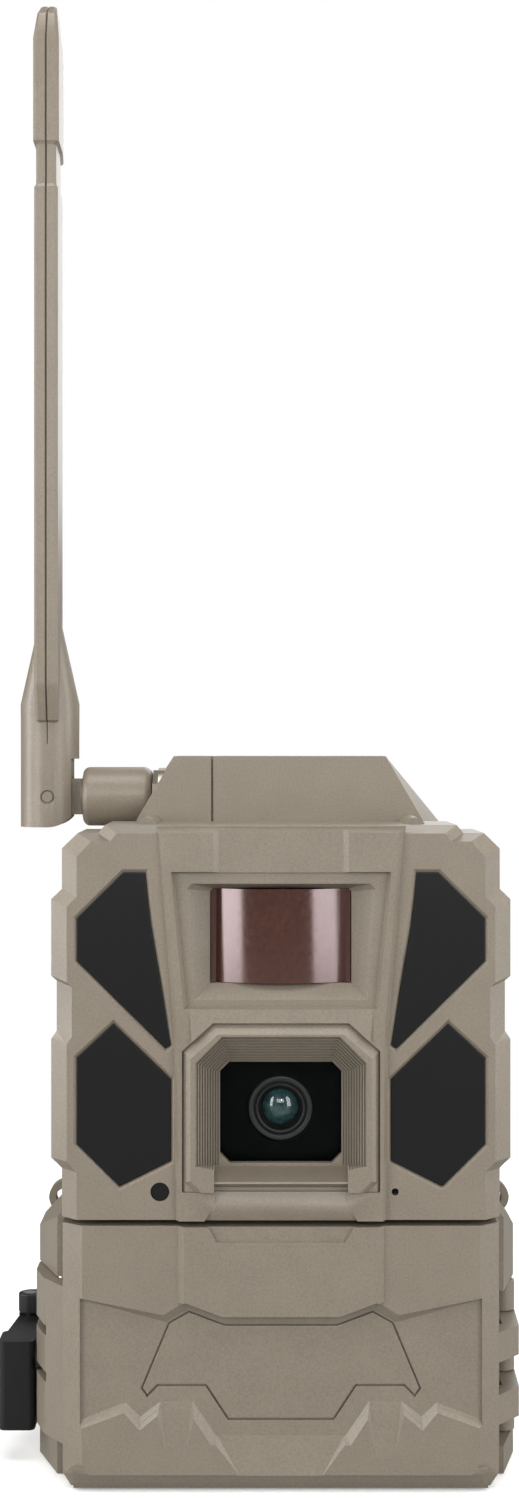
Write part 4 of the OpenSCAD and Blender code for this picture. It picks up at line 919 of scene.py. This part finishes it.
class TRAILCAM_OT_stage(bpy.types.Operator):
    """Pale floor, soft studio light and the camera"""

    bl_idname = "trailcam.stage"
    bl_label = "Stage"

    def execute(self, context):
        colours = context.scene.trail_camera_colours
        scene = context.scene
        material, tree, shader = new_material("Paper sweep")
        place = node(tree, "ShaderNodeTexCoord").outputs["Object"]
        fibre = node(tree, "ShaderNodeTexNoise", {"Scale": 900.0, "Detail": 2.0}, Vector=place)
        bump = node(
            tree, "ShaderNodeBump", {"Strength": 0.05, "Distance": 0.1 * MM}, Height=fibre.outputs["Fac"]
        )
        tree.links.new(bump.outputs["Normal"], shader.inputs["Normal"])
        # Bright to the lens, and dim enough to leave the undersides dark
        direct = node(tree, "ShaderNodeLightPath").outputs["Is Camera Ray"]
        paper = node(tree, "ShaderNodeMix", {"data_type": "RGBA"})
        tree.links.new(direct, paper.inputs[0])
        paper.inputs[6].default_value = (0.3, 0.3, 0.3, 1)
        paper.inputs[7].default_value = colours.floor
        tree.links.new(paper.outputs[2], shader.inputs["Base Color"])
        shader.inputs["Roughness"].default_value = 0.8
        shader.inputs["Emission Color"].default_value = (1, 1, 1, 1)
        lift = node(tree, "ShaderNodeMath", {"operation": "MULTIPLY"})
        tree.links.new(direct, lift.inputs[0])
        lift.inputs[1].default_value = 0.25
        tree.links.new(lift.outputs[0], shader.inputs["Emission Strength"])
        activate(None)
        bpy.ops.mesh.primitive_plane_add(size=1)
        floor = context.object
        floor.name = "studio_floor"
        corners = ((-0.8, -1.4), (0.8, -1.4), (-0.8, 0.35), (0.8, 0.35))
        for vertex, (x, y) in zip(floor.data.vertices, corners):
            vertex.co = (x, y, -0.0002)
        floor.data.materials.append(material)

        world = bpy.data.worlds.new("Studio")
        scene.world = world
        world.use_nodes = True
        background = world.node_tree.nodes["Background"]
        background.inputs["Color"].default_value = (1, 1, 1, 1)
        seen = node(world.node_tree, "ShaderNodeLightPath").outputs["Is Camera Ray"]
        # Dim as a light, and white as a background
        levels = {"To Min": 0.16, "To Max": 1.0}
        strength = node(world.node_tree, "ShaderNodeMapRange", levels, Value=seen)
        world.node_tree.links.new(strength.outputs["Result"], background.inputs["Strength"])

        # Name, place, width and height, power in watts, and the point that it faces
        lights = (
            ("top_softbox", (0.0, -0.25, 1.0), (0.8, 0.45), 5.2, (0, 0.0, 0.16)),
            ("front_softbox", (0.0, -1.0, 0.45), (0.6, 0.3), 2.2, (0, -0.03, 0.13)),
            ("catch_light", (0.06, -0.75, 0.38), (0.05, 0.05), 0.35, (0, -0.03, 0.09)),
            ("left_softbox", (-0.80, -0.72, 0.25), (0.50, 1.1), 10.0, (0, -0.03, 0.13)),
            ("right_softbox", (0.72, -0.80, 0.25), (0.46, 1.1), 7.5, (0, -0.03, 0.13)),
            ("left_rim", (-1.0, -0.05, 0.3), (0.25, 1.0), 8.0, (0, -0.02, 0.13)),
            ("right_rim", (1.0, -0.10, 0.3), (0.25, 1.0), 6.5, (0, -0.02, 0.13)),
            ("back_softbox", (0.3, 0.9, 0.7), (0.8, 0.8), 5.0, (0, 0.0, 0.15)),
        )
        for name, at, (width, height), power, aim in lights:
            light = bpy.data.lights.new(name, "AREA")
            light.shape = "RECTANGLE"
            light.size, light.size_y = width, height
            light.energy = power
            lamp = bpy.data.objects.new(name, light)
            lamp.location = at
            lamp.rotation_euler = (Vector(aim) - Vector(at)).to_track_quat("-Z", "Y").to_euler()
            lamp.visible_camera = False
            scene.collection.objects.link(lamp)

        lens = bpy.data.cameras.new("Camera")
        lens.sensor_fit = "VERTICAL"
        lens.sensor_height = 24.0
        lens.lens = 12.0 / math.tan(math.radians(19.99))
        lens.clip_start = 0.01
        camera = bpy.data.objects.new("Camera", lens)
        distance = 480
        camera.location = (-0.005, (FACE - distance) * MM, 0.1731)
        camera.rotation_euler = (math.radians(90), 0, 0)
        scene.collection.objects.link(camera)
        scene.camera = camera
        scene.view_settings.view_transform = "Standard"
        return {"FINISHED"}


OPERATORS = (
    TRAILCAM_OT_stage,
    TRAILCAM_OT_front_shell,
    TRAILCAM_OT_lens_hood,
    TRAILCAM_OT_door,
    TRAILCAM_OT_rear_shell,
    TRAILCAM_OT_windows,
    TRAILCAM_OT_latch,
    TRAILCAM_OT_antenna,
    TRAILCAM_OT_fittings,
)


class TRAILCAM_PT_panel(bpy.types.Panel):
    """Lists the pieces and their sizes"""

    bl_idname = "TRAILCAM_PT_panel"
    bl_label = "Trail camera"
    bl_space_type = "VIEW_3D"
    bl_region_type = "UI"
    bl_category = "Trail camera"

    def draw(self, context):
        for owner in (context.scene.trail_camera_sizes, context.scene.trail_camera_colours):
            for name in owner.__annotations__:
                self.layout.prop(owner, name)
        for operator in OPERATORS:
            self.layout.operator(operator.bl_idname)


CLASSES = (TrailCameraSizes, TrailCameraColours, *OPERATORS, TRAILCAM_PT_panel)


def register():
    for item in CLASSES:
        bpy.utils.register_class(item)
    bpy.types.Scene.trail_camera_sizes = bpy.props.PointerProperty(type=TrailCameraSizes)
    bpy.types.Scene.trail_camera_colours = bpy.props.PointerProperty(type=TrailCameraColours)


def unregister():
    del bpy.types.Scene.trail_camera_colours
    del bpy.types.Scene.trail_camera_sizes
    for item in reversed(CLASSES):
        bpy.utils.unregister_class(item)


def main():
    register()
    make_housing_materials()
    make_window_materials()
    make_inner_materials()
    for operator in OPERATORS:
        group, name = operator.bl_idname.split(".")
        getattr(getattr(bpy.ops, group), name)()


if __name__ == "__main__":
    main()
